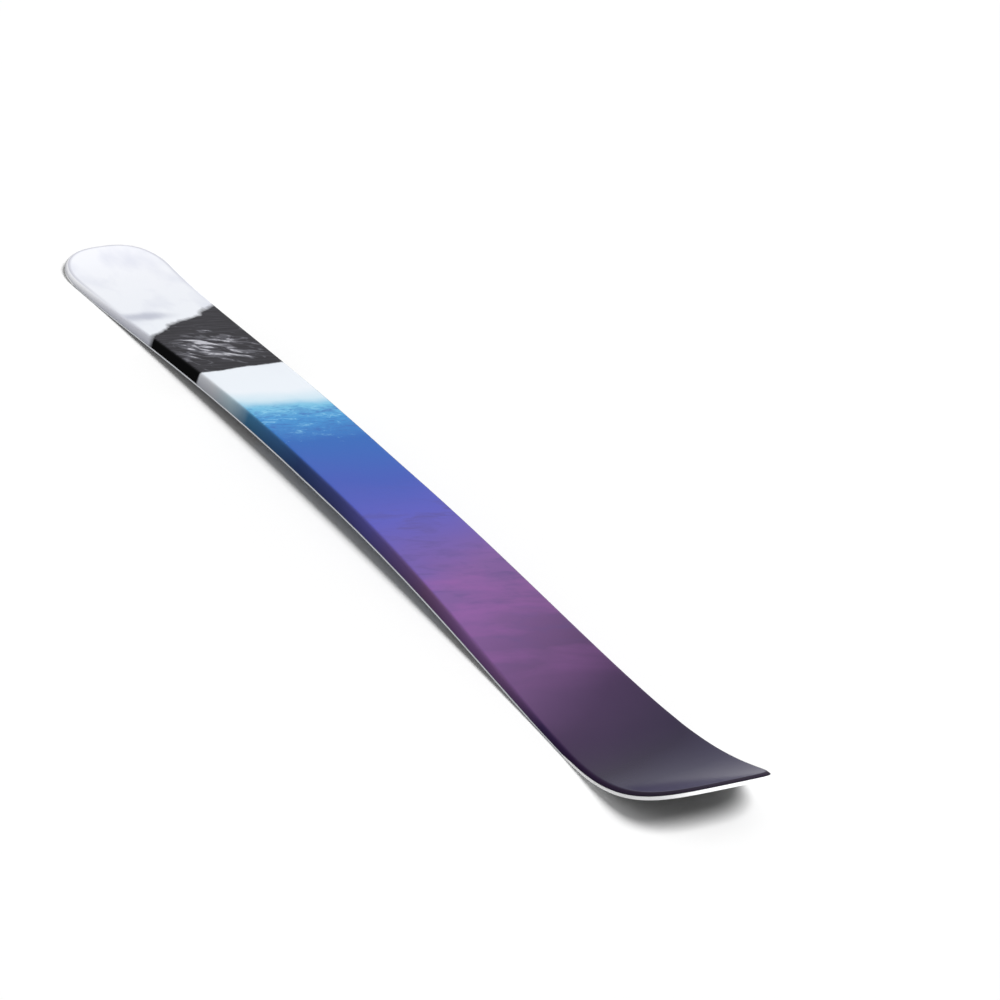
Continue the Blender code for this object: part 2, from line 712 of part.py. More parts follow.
def add_lower_laminates():
    """The glass layer between the anchor flanges and the structural one above it."""
    glass = finish("glass_fibre_laminate", "B9BE9E", 0.5)
    ramps = [EDGE_REAR, EDGE_REAR + TONGUE_LENGTH, EDGE_FRONT - TONGUE_LENGTH, EDGE_FRONT]
    low = plate(
        "base_laminate",
        TAIL_X,
        TIP_X,
        base_laminate_inset,
        lambda x: FLANGE_BOTTOM,
        lambda x: EDGE_HEIGHT,
        ramps,
    )
    add_piece(low, glass)
    structural = plate(
        "lower_laminate",
        TAIL_X,
        TIP_X,
        lower_laminate_inset,
        lambda x: LOWER_LAMINATE_BOTTOM,
        lambda x: RIM_HEIGHT,
        ramps,
    )
    add_piece(structural, glass)


def add_spacers():
    """The white end spacers."""
    white = finish("white_abs", "F4F5F6", 0.35)
    add_piece(end_spacer("tip_spacer", EDGE_FRONT, BLOCK_FRONT, TIP_X), white)
    add_piece(end_spacer("tail_spacer", EDGE_REAR, BLOCK_REAR, TAIL_X), white)


def core_top(x):
    """Top of the core: under the upper laminate, and lower under the binding mat."""
    top = float(thickness(x)) - CORE_DEPTH
    beyond = max(x - MAT_FRONT, MAT_REAR - x) - LAYER_GAP
    under_mat = 1 - min(max(beyond / MAT_STEP, 0), 1)
    return top - (MAT_THICKNESS + LAYER_GAP) * under_mat


def strip_section(x, strip, strip_width):
    """Loop of one core strip at x: a rectangle, or for an outer strip a side that leans with the cap."""
    top = core_top(x)
    floor = CORE_FLOOR
    middle = CORE_STRIPS / 2
    sides = []
    for boundary, inward in ((strip, 1), (strip + 1, -1)):
        y = (boundary - middle) * strip_width + inward * LAYER_GAP / 2
        low_y = high_y = y
        if boundary in (0, CORE_STRIPS):
            low_y = -inward * OUTLINE.half_width(x, flank_inset(x, CORE_DEPTH, floor))
            high_y = -inward * OUTLINE.half_width(x, core_shoulder_inset(x, top))
        sides.append((low_y, high_y))
    (low_a, high_a), (low_b, high_b) = sides
    return np.array([(x, low_a, floor), (x, high_a, top), (x, high_b, top), (x, low_b, floor)])


def add_core():
    """Wood strips side by side. The strips are even at the waist, and the outer ones take up the sidecut."""
    steps = [MAT_REAR - LAYER_GAP - MAT_STEP, MAT_REAR - LAYER_GAP, MAT_FRONT + LAYER_GAP]
    steps += [MAT_FRONT + LAYER_GAP + MAT_STEP, CORE_REAR, CORE_FRONT]
    rows = sorted({*steps, *(x for x in SIDE_STATIONS if CORE_REAR < x < CORE_FRONT)})
    waist_top = OUTLINE.half_width(WAIST_X, core_shoulder_inset(WAIST_X, core_top(WAIST_X)))
    strip_width = 2 * waist_top / CORE_STRIPS
    light = finish("poplar", "D9BE8C", 0.7)
    dark = finish("ash", "B98F5E", 0.7)
    for strip in range(CORE_STRIPS):
        loops = [strip_section(x, strip, strip_width) for x in rows]
        add_piece(loft(f"core_stringer_{strip + 1}", loops), dark if strip % 2 else light)


def add_binding_mat():
    """Reinforcing plate between core and upper laminate where a binding is screwed on."""
    mat = plate(
        "binding_mat",
        MAT_REAR,
        MAT_FRONT,
        lambda x: core_shoulder_inset(x, float(thickness(x)) - CORE_DEPTH),
        lambda x: float(thickness(x)) - CORE_DEPTH - MAT_THICKNESS,
        lambda x: float(thickness(x)) - CORE_DEPTH,
    )
    add_piece(mat, finish("grey_alloy_plate", "8C8F93", 0.45, 1.0))


def add_caps():
    """The upper laminate and the printed topsheet over it, both wrapped down the flanks."""
    glass = finish("carbon_glass_laminate", "3A3B38", 0.5)
    print_finish = finish("printed_topsheet", "6F63AC", 0.35)
    laminate = cap_shell(
        "upper_laminate",
        LAMINATE_DEPTH,
        UPPER_LAMINATE_THICKNESS,
        lambda x: CORE_FLOOR,
        SHOULDER_SEGMENTS - 1,
    )
    add_piece(laminate, glass)
    topsheet = cap_shell(
        "topsheet",
        0,
        TOPSHEET_THICKNESS,
        lambda x: flank(x)[0],
        SHOULDER_SEGMENTS,
    )
    add_piece(topsheet, print_finish)


def main():
    for thing in list(bpy.data.objects):
        bpy.data.objects.remove(thing)
    add_bases()
    add_skin()
    add_edges()
    add_lower_laminates()
    add_spacers()
    add_core()
    add_binding_mat()
    add_caps()


main()
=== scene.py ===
"""Backcountry ski with a climbing skin in its base: fine surfaces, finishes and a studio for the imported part.

Every shape is worked out on a straight blank, with x along the ski, y across it and a level above the running
surface, and is then bent to the ski's side profile, as the part's own solids are. All sizes are in metres.
"""

import logging
import math
from dataclasses import dataclass, field
from enum import Enum

import bmesh
import bpy
import numpy as np
from mathutils import Matrix, Vector

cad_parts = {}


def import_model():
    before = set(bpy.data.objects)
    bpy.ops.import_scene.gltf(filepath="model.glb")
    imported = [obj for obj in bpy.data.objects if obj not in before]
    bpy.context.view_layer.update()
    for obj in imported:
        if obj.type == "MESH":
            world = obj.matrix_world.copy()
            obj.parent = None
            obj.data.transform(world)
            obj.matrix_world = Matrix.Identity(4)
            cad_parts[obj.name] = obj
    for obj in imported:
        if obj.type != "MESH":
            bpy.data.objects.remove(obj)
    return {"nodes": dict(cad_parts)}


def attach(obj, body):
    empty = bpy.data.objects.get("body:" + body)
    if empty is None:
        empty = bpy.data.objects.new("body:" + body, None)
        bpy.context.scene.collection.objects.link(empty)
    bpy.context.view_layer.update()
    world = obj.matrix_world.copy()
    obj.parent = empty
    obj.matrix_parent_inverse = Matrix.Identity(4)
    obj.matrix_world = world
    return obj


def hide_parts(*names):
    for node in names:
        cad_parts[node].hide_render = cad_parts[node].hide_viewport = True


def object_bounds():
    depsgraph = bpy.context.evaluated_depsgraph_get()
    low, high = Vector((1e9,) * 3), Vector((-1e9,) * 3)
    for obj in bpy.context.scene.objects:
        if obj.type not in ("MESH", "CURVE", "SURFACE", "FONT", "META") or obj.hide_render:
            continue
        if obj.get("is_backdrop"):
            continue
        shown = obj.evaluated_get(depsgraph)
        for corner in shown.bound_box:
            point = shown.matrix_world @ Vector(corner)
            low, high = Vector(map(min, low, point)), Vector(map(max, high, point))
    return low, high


Array = np.ndarray
Socket = bpy.types.NodeSocket
Pair = tuple[float, float]
Triple = tuple[float, float, float]
Stops = tuple[tuple[float, str], ...]
WHITE = (1.0, 1.0, 1.0, 1.0)
log = logging.getLogger("ski")


class Side(Enum):
    """A side of the ski, with the sign of its y."""

    LEFT = 1
    RIGHT = -1


class SkiEnd(Enum):
    """An end of the ski, with the sign of its x."""

    TIP = 1
    TAIL = -1


# The ski's form


@dataclass(frozen=True)
class SkiForm:
    """Outline, side profile, thickness and layer levels, with the part's own sizes."""

    length: float = 1.600
    shovel_width: float = 0.1222
    waist_width: float = 0.0960
    tail_width: float = 0.1214
    waist_x: float = 0.002
    tip_round: float = 0.190
    tip_round_power: float = 2.92
    tip_round_root: float = 3.22
    tail_round: float = 0.095
    tail_round_power: float = 2.37
    tail_round_root: float = 2.61
    platform_x: float = -0.020
    platform_length: float = 0.120
    camber: float = 0.0145
    camber_power: float = 1.61
    front_contact_setback: float = 0.2223
    rear_contact_setback: float = 0.1264
    contact_length: float = 0.030
    tip_rise: float = 0.0505
    tip_rise_power: float = 2.24
    tail_rise: float = 0.0075
    tail_rise_power: float = 2.03
    platform_thickness: float = 0.0167
    end_thickness: float = 0.0066
    front_taper: float = 0.56
    rear_taper: float = 0.68
    taper_power: float = 1.58
    shoulder_inset: float = 0.0045
    end_shoulder_inset: float = 0.0030
    shoulder_radius: float = 0.0040
    gap: float = 0.0003
    base_thickness: float = 0.0012
    flange_thickness: float = 0.0005
    lower_laminate: float = 0.0008
    upper_laminate: float = 0.0006
    topsheet: float = 0.0007
    edge_width: float = 0.0020
    edge_mitre: float = 0.0010
    edge_tip_setback: float = 0.201
    edge_tail_setback: float = 0.087
    rim_ramp: float = 0.020

    @property
    def edge_height(self) -> float:
        """Level of the top of the steel edges."""
        return self.base_thickness + self.gap + self.flange_thickness

    @property
    def rim_top(self) -> float:
        """Level of the top of the white rim round the ends."""
        return self.edge_height + self.gap + self.lower_laminate

    @property
    def core_depth(self) -> float:
        """Depth of the core under the outside of the cap."""
        return self.topsheet + self.gap + self.upper_laminate + self.gap

    @property
    def beside_edge(self) -> float:
        """Inset of what lies beside a steel edge: the base, the skin and a spacer's tongues."""
        return self.edge_width + self.gap

    def edge_end(self, end: SkiEnd) -> float:
        """The x where the steel edges stop."""
        setback = self.edge_tip_setback if end is SkiEnd.TIP else self.edge_tail_setback
        return end.value * (self.length / 2 - setback)

    def side_half_width(self, x: Array) -> Array:
        """Half width of the sidecut: a parabola each way from the waist.

        Args:
            x: places along the ski.

        Returns:
            The half width at each place.
        """
        ahead = x > self.waist_x
        end_x = np.where(ahead, self.length / 2 - self.tip_round, self.tail_round - self.length / 2)
        end_width = np.where(ahead, self.shovel_width, self.tail_width)
        share = (x - self.waist_x) / (end_x - self.waist_x)
        return (self.waist_width + (end_width - self.waist_width) * share**2) / 2

    def off_platform(self, x: Array, front: float, rear: float) -> Array:
        """Share of the way from the binding platform to the end of a reach, ahead or behind.

        Args:
            x: places along the ski.
            front: reach ahead of the platform.
            rear: reach behind it.

        Returns:
            0 on the platform, 1 from the end of the reach on.
        """
        ahead = np.clip(x - self.platform_x - self.platform_length / 2, 0, None) / front
        behind = np.clip(self.platform_x - self.platform_length / 2 - x, 0, None) / rear
        return np.clip(ahead + behind, 0, 1)

    def base_height(self, x: Array) -> Array:
        """Height of the running surface.

        Camber times (1 - share squared) to a power, plus tip and tail rises that are powers of the way past
        the contact zones.

        Args:
            x: places along the ski.

        Returns:
            The height above the floor at each place.
        """
        half = self.length / 2
        front = half - self.front_contact_setback
        rear = self.rear_contact_setback - half
        flat = self.contact_length / 2
        reach_front = front - flat - self.platform_x - self.platform_length / 2
        reach_rear = self.platform_x - self.platform_length / 2 - rear - flat
        share = self.off_platform(x, reach_front, reach_rear)
        tip = np.clip((x - front - flat) / (half - front - flat), 0, None)
        tail = np.clip((rear - flat - x) / (rear - flat + half), 0, None)
        rise = self.tip_rise * tip**self.tip_rise_power + self.tail_rise * tail**self.tail_rise_power
        return self.camber * (1 - share**2) ** self.camber_power + rise

    def thickness(self, x: Array) -> Array:
        """Thickness of the ski: the same hump as the camber, from the platform down to the ends."""
        share = self.off_platform(x, self.front_taper, self.rear_taper)
        hump = (1 - share**2) ** self.taper_power
        return self.end_thickness + (self.platform_thickness - self.end_thickness) * hump

    def rim_height(self, x: Array) -> Array:
        """Level of the top of the rim: the steel edge's, then a ramp up to the white rim's."""
        beyond = np.maximum(x - self.edge_end(SkiEnd.TIP), self.edge_end(SkiEnd.TAIL) - x) - self.gap
        return self.edge_height + (self.rim_top - self.edge_height) * np.clip(beyond / self.rim_ramp, 0, 1)

    def flank(self, x: Array) -> tuple[Array, Array]:
        """Foot level of the topsheet, and the tangent of the flank's lean.

        Args:
            x: places along the ski.

        Returns:
            Foot levels and lean tangents.
        """
        foot = self.rim_height(x) + self.gap
        height = self.thickness(x)
        share = (height - self.end_thickness) / (self.platform_thickness - self.end_thickness)
        inset = self.end_shoulder_inset + (self.shoulder_inset - self.end_shoulder_inset) * share
        return foot, inset / (height - foot)

    def flank_inset(self, x: Array, depth: float, level: Array) -> Array:
        """Inset of the surface this deep under the flank, at a level."""
        foot, lean = self.flank(x)
        return depth * np.hypot(1, lean) + (level - foot) * lean

    def bend(self, points: Array) -> Array:
        """Moves blank points onto the side profile, each level square to the running surface.

        Args:
            points: array whose last axis is x, y and level.

        Returns:
            Points of the same layout in the ski's own place.
        """
        x, y, level = points[..., 0], points[..., 1], points[..., 2]
        probe = self.gap / 10
        tilt = np.arctan((self.base_height(x + probe) - self.base_height(x - probe)) / (2 * probe))
        return np.stack([x - level * np.sin(tilt), y, self.base_height(x) + level * np.cos(tilt)], axis=-1)


class OutlineCurve:
    """The left half of the outline, as close points from the middle of the tail to the middle of the tip."""

    # Points of each stretch, and digits that tell two distances apart
    dense: int = 900
    digits: int = 7
    # Metres of distance that a radian of turning counts for in the spacing of rows
    turn_weight: float = 0.16

    def __init__(self, form: SkiForm) -> None:
        """Joins closed tail, sidecut and closed tip, and measures distance, normals and turning."""
        self.form = form
        tip_x, tip_w = self.closed_end(form.length / 2 - form.tip_round, form.tip_round, form.tip_round_power,
                                       form.tip_round_root)
        tail_x, tail_w = self.closed_end(form.tail_round - form.length / 2, -form.tail_round,
                                         form.tail_round_power, form.tail_round_root)
        side_x = np.linspace(tail_x[0], tip_x[0], self.dense)[1:-1]
        self.x = np.concatenate([tail_x[::-1], side_x, tip_x])
        self.width = np.concatenate([tail_w[::-1], form.side_half_width(side_x), tip_w])
        self.run = np.concatenate([[0], np.cumsum(np.hypot(np.diff(self.x), np.diff(self.width)))])
        slope_x = np.gradient(self.x, self.run)
        slope_w = np.gradient(self.width, self.run)
        heading = np.unwrap(np.arctan2(slope_w, slope_x))
        heading[0], heading[-1] = math.pi / 2, -math.pi / 2
        self.normal_x = -np.sin(heading)
        self.normal_y = np.cos(heading)
        turned = np.concatenate([[0], np.cumsum(np.abs(np.diff(heading)))])
        self.measure = self.run + self.turn_weight * turned

    def closed_end(self, start: float, length: float, power: float, root: float) -> tuple[Array, Array]:
        """Points of one end: the sidecut times (1 - along to a power) to a root's inverse.

        Args:
            start: x where the closing starts.
            length: signed length of the closing.
            power: power of the way along.
            root: root of the remainder.

        Returns:
            x and half width of the points, up to the middle of the end.
        """
        closing = np.sin(np.linspace(0, math.pi / 2, self.dense))
        along = np.sin(closing * math.pi / 2)
        x = start + length * along
        return x, self.form.side_half_width(x) * np.clip(1 - along**power, 0, 1) ** (1 / root)

    def x_at(self, runs: Array) -> Array:
        """x of the points at these distances along the outline."""
        return np.interp(runs, self.run, self.x)

    def place(self, run: Array, inset: Array | float) -> tuple[Array, Array]:
        """Points at these distances along the outline, moved inward along its normal.

        Args:
            run: distances along the outline.
            inset: how far inward.

        Returns:
            x and y on the left side.
        """
        x = self.x_at(run) - inset * np.interp(run, self.run, self.normal_x)
        y = np.interp(run, self.run, self.width) - inset * np.interp(run, self.run, self.normal_y)
        return x, np.maximum(y, 0)

    def half_width(self, x: Array, inset: float) -> Array:
        """Half width at x of the outline moved inward."""
        sides = self.width > 0
        moved_x = (self.x - inset * self.normal_x)[sides]
        moved_w = (self.width - inset * self.normal_y)[sides]
        return np.interp(x, moved_x, moved_w)

    def inward(self, x: Array, y: Array) -> Array:
        """Distance from the outline of left-side points inside it: the smallest one to its close points."""
        return np.hypot(x[..., None] - self.x, y[..., None] - self.width).min(axis=-1)

    def runs(self, start: float, end: float, spacing: float, extra: tuple[float, ...] = ()) -> Array:
        """Distances along the outline between two x, closer together where the outline turns.

        Args:
            start: the rearmost x.
            end: the foremost x.
            spacing: spacing on a straight stretch.
            extra: x of further rows.

        Returns:
            The distances in order.
        """
        low, high = np.interp([start, end], self.x, self.measure)
        even = np.linspace(low, high, max(int((high - low) / spacing), 2) + 1)
        runs = np.interp(even, self.measure, self.run)
        added = np.interp([x for x in extra if start < x < end], self.x, self.run)
        return np.unique(np.round(np.concatenate([runs, added]), self.digits))

    def runs_out(self, end: SkiEnd, start: float, spacing: float, extra: tuple[float, ...] = ()) -> Array:
        """Distances along the outline from an x out to an end of the ski, in that order.

        Args:
            end: the end of the ski.
            start: the x to start from.
            spacing: spacing on a straight stretch.
            extra: x of further rows.

        Returns:
            The distances.
        """
        stop = end.value * self.form.length / 2
        return self.runs(min(start, stop), max(start, stop), spacing, extra)[:: end.value]


FORM = SkiForm()
OUTLINE = OutlineCurve(FORM)


# Meshes from grids


def grid_faces(rows: int, columns: int, caps: bool) -> list[list[int]]:
    """Quads between the neighbours of a grid whose last column joins its first.

    Args:
        rows: rows of the grid.
        columns: columns of the grid.
        caps: whether the first and last rows, each a loop out and back, are closed with strips of quads.

    Returns:
        Vertex indices, four a face.
    """
    index = np.arange(rows * columns).reshape(rows, columns)
    closed = np.concatenate([index, index[:, :1]], axis=1)
    corners = [closed[:-1, :-1], closed[:-1, 1:], closed[1:, 1:], closed[1:, :-1]]
    faces = [np.stack(corners, -1).reshape(-1, 4)]
    if caps:
        for row in (index[0], index[-1][::-1]):
            out, back = row[: columns // 2], row[::-1][: columns // 2]
            faces.append(np.stack([out[1:], out[:-1], back[:-1], back[1:]], -1))
    return np.concatenate(faces).tolist()


def mesh_object(name: str, points: Array, faces: Array | list[list[int]], sharp: float = 30,
                values: dict[str, Array] | None = None, merge: float = 2e-6) -> bpy.types.Object:
    """Makes a closed, outward-facing object in the ski's place from blank points.

    Args:
        name: name of the piece.
        points: blank points, in any grid layout.
        faces: vertex indices.
        sharp: angle in degrees over which an edge is drawn sharp.
        values: attribute values, one a point, by attribute name.
        merge: distance under which points become one.

    Returns:
        The object, linked to the scene.
    """
    mesh = bpy.data.meshes.new(name)
    mesh.from_pydata(FORM.bend(points.reshape(-1, 3)), [], faces)
    for label, value in (values or {}).items():
        layer = mesh.attributes.new(label, "FLOAT", "POINT")
        layer.data.foreach_set("value", np.asarray(value, np.float32).ravel())
    body = bmesh.new()
    body.from_mesh(mesh)
    if merge:
        bmesh.ops.remove_doubles(body, verts=body.verts, dist=merge)
        bmesh.ops.dissolve_degenerate(body, edges=body.edges, dist=merge)
    bmesh.ops.recalc_face_normals(body, faces=body.faces)
    body.to_mesh(mesh)
    body.free()
    mesh.shade_smooth()
    mesh.set_sharp_from_angle(angle=math.radians(sharp))
    piece = bpy.data.objects.new(name, mesh)
    bpy.context.scene.collection.objects.link(piece)
    return piece


def joined(name: str, pieces: list[bpy.types.Object]) -> bpy.types.Object:
    """Joins closed bodies into one object.

    Args:
        name: name of the joined piece.
        pieces: objects that become one.

    Returns:
        The joined object.
    """
    body = bmesh.new()
    for piece in pieces:
        body.from_mesh(piece.data)
    mesh = pieces[0].data
    body.to_mesh(mesh)
    body.free()
    for piece in pieces[1:]:
        bpy.data.objects.remove(piece)
    pieces[0].name = mesh.name = name
    return pieces[0]


def mirrored_rows(x: Array, y: Array, level: Array) -> Array:
    """Rows of left-side points followed by their mirror images, in reverse order.

    Args:
        x: x of the left-side points, a row for each station.
        y: their y.
        level: their level.

    Returns:
        Blank points, twice as many columns.
    """
    left = np.stack(np.broadcast_arrays(x, y, level), -1)
    return np.concatenate([left, left[:, ::-1] * [1, -1, 1]], axis=1)


def install(piece: bpy.types.Object, material: bpy.types.Material, slot: str, *nodes: str) -> None:
    """Dresses a piece, makes it ride with the ski and lets it stand for its nodes.

    Args:
        piece: the piece.
        material: its finish.
        slot: the record's material slot; not used.
        nodes: the CAD nodes that it stands for.
    """
    piece.data.materials.clear()
    piece.data.materials.append(material)
    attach(piece, "root")
    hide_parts(*nodes)
    log.info("%s: %d faces, stands for %s", piece.name, len(piece.data.polygons), ", ".join(nodes))


# Finishes


# A Mix of colours has its colours at inputs A and B and its result at this output
A, B = 6, 7
COLOURS = {"out": 2, "data_type": "RGBA"}
SMOOTH = {"interpolation_type": "SMOOTHSTEP"}
# Noise keeps mostly between these levels
NOISE_REACH = (0.3, 0.7)


def linear(hex_colour: str) -> tuple[float, float, float, float]:
    """Turns an sRGB colour written as hex digits into linear values with alpha 1."""
    values = [int(hex_colour[k : k + 2], 16) / 255 for k in (0, 2, 4)]
    return (*(v / 12.92 if v <= 0.04045 else ((v + 0.055) / 1.055) ** 2.4 for v in values), 1.0)


class Recipe:
    """The node tree of a finish, or of the world, in the making."""

    def __init__(self, holder: bpy.types.Material | bpy.types.World) -> None:
        """Empties the holder's node tree."""
        holder.use_nodes = True
        self.holder = holder
        self.tree = holder.node_tree
        self.tree.nodes.clear()

    def add(self, kind: str, inputs: dict[str | int, object] | None = None, out: str | int = 0,
            stops: Stops = (), **settings: object) -> Socket | None:
        """Adds a node with its settings and links.

        Args:
            kind: node type without its ShaderNode prefix.
            inputs: input name or number to a socket, which is linked, or to a value, which is set. A colour
                is given as hex digits, and From and To each as the pair of their Min and Max.
            out: name or number of the output that is wanted.
            stops: position and hex colour of each stop of a colour ramp, in order.
            settings: properties of the node.

        Returns:
            The wanted output, or nothing from a node that has none.
        """
        node = self.tree.nodes.new("ShaderNode" + kind)
        for key, value in settings.items():
            setattr(node, key, value)
        for key, value in (inputs or {}).items():
            if isinstance(value, Socket):
                self.tree.links.new(value, node.inputs[key])
            elif key in ("From", "To"):
                for word, limit in zip(("Min", "Max"), value):
                    node.inputs[f"{key} {word}"].default_value = limit
            else:
                node.inputs[key].default_value = linear(value) if isinstance(value, str) else value
        if stops:
            bar = node.color_ramp.elements
            bar.remove(bar[-1])
            bar[0].position = stops[0][0]
            bar[0].color = linear(stops[0][1])
            for position, colour in stops[1:]:
                bar.new(position).color = linear(colour)
        return node.outputs[out] if node.outputs else None


@dataclass(frozen=True)
class Grain:
    """A noise pattern, and how much of it shows.

    Its cell is a size in metres, one for all directions or one each for x, y and z. Without levels it is the
    noise itself; with them, none of it shows at the first level and its whole amount at the second.
    """

    cell: float | Triple
    detail: float = 3.0
    roughness: float = 0.5
    distortion: float = 0.0
    turn: float = 0.0
    levels: Pair | None = None
    amount: float = 1.0

    def laid(self, r: Recipe, here: Socket) -> Socket:
        """Lays the pattern: coordinates turned about z and divided by the cell, noise, and its levels.

        Args:
            r: the recipe.
            here: object coordinates.

        Returns:
            The noise, or the share to which it shows.
        """
        sides = self.cell if isinstance(self.cell, tuple) else (self.cell,) * 3
        cells = r.add("Mapping", {"Vector": here, "Rotation": (0.0, 0.0, self.turn), "Scale": sides},
                      vector_type="TEXTURE")
        noise = r.add("TexNoise", {"Vector": cells, "Scale": 1.0, "Detail": self.detail,
                                   "Roughness": self.roughness, "Distortion": self.distortion})
        if self.levels is None:
            return noise
        return r.add("MapRange", {"Value": noise, "From": self.levels, "To": (0.0, self.amount)})


@dataclass(frozen=True)
class Weave:
    """A plain weave: a sine wave along each thread direction, one times the other."""

    pitch: float
    turn: float = 0.0

    def laid(self, r: Recipe, here: Socket) -> Socket:
        """Lays the weave.

        Args:
            r: the recipe.
            here: object coordinates.

        Returns:
            The height of the weave, from -1 to 1.
        """
        cell = self.pitch / (2 * math.pi)
        threads = r.add("Mapping", {"Vector": here, "Rotation": (0.0, 0.0, self.turn),
                                    "Scale": (cell, cell, 1.0)}, vector_type="TEXTURE")
        waves = [r.add("Math", {0: r.add("SeparateXYZ", {"Vector": threads}, out=axis)}, operation="SINE")
                 for axis in "XY"]
        return r.add("Math", {0: waves[0], 1: waves[1]}, operation="MULTIPLY")


@dataclass(frozen=True)
class Oval:
    """A soft oval spot: its middle in x and y, its half sizes and its turn about z."""

    middle: Pair
    size: Pair
    turn: float = 0.0

    def distance(self, r: Recipe, here: Socket) -> Socket:
        """Distance from the middle, which is 1 on the oval's line.

        Args:
            r: the recipe.
            here: object coordinates.

        Returns:
            The distance.
        """
        place = r.add("Mapping", {"Vector": here, "Location": (*self.middle, 0.0),
                                  "Rotation": (0.0, 0.0, self.turn), "Scale": (*self.size, 1.0)},
                      vector_type="TEXTURE")
        return r.add("VectorMath", {0: place}, out="Value", operation="LENGTH")


@dataclass(frozen=True)
class Stretch:
    """A stretch of the ski with soft ends: it comes in and goes out, each from one x to another."""

    start: Pair
    end: Pair

    def mask(self, r: Recipe, along: Socket) -> Socket:
        """Mask of the stretch: one smooth step up times one smooth step down.

        Args:
            r: the recipe.
            along: place along the ski.

        Returns:
            1 inside the stretch, 0 outside.
        """
        begun = r.add("MapRange", {"Value": along, "From": self.start}, **SMOOTH)
        ended = r.add("MapRange", {"Value": along, "From": self.end}, **SMOOTH)
        return r.add("Math", {0: begun, 1: ended}, operation="MULTIPLY")


@dataclass(frozen=True)
class Finish:
    """A finish of the ski, worked out in object coordinates."""

    name: str

    def build(self) -> bpy.types.Material:
        """Builds the material.

        Returns:
            The material.
        """
        r = Recipe(bpy.data.materials.new(self.name))
        shader = self.shader(r, r.add("TexCoord", out="Object"))
        r.add("OutputMaterial", {"Surface": shader})
        return r.holder

    def shader(self, r: Recipe, here: Socket) -> Socket:
        """The finish's shader, which each finish works out from a recipe and object coordinates."""
        raise NotImplementedError


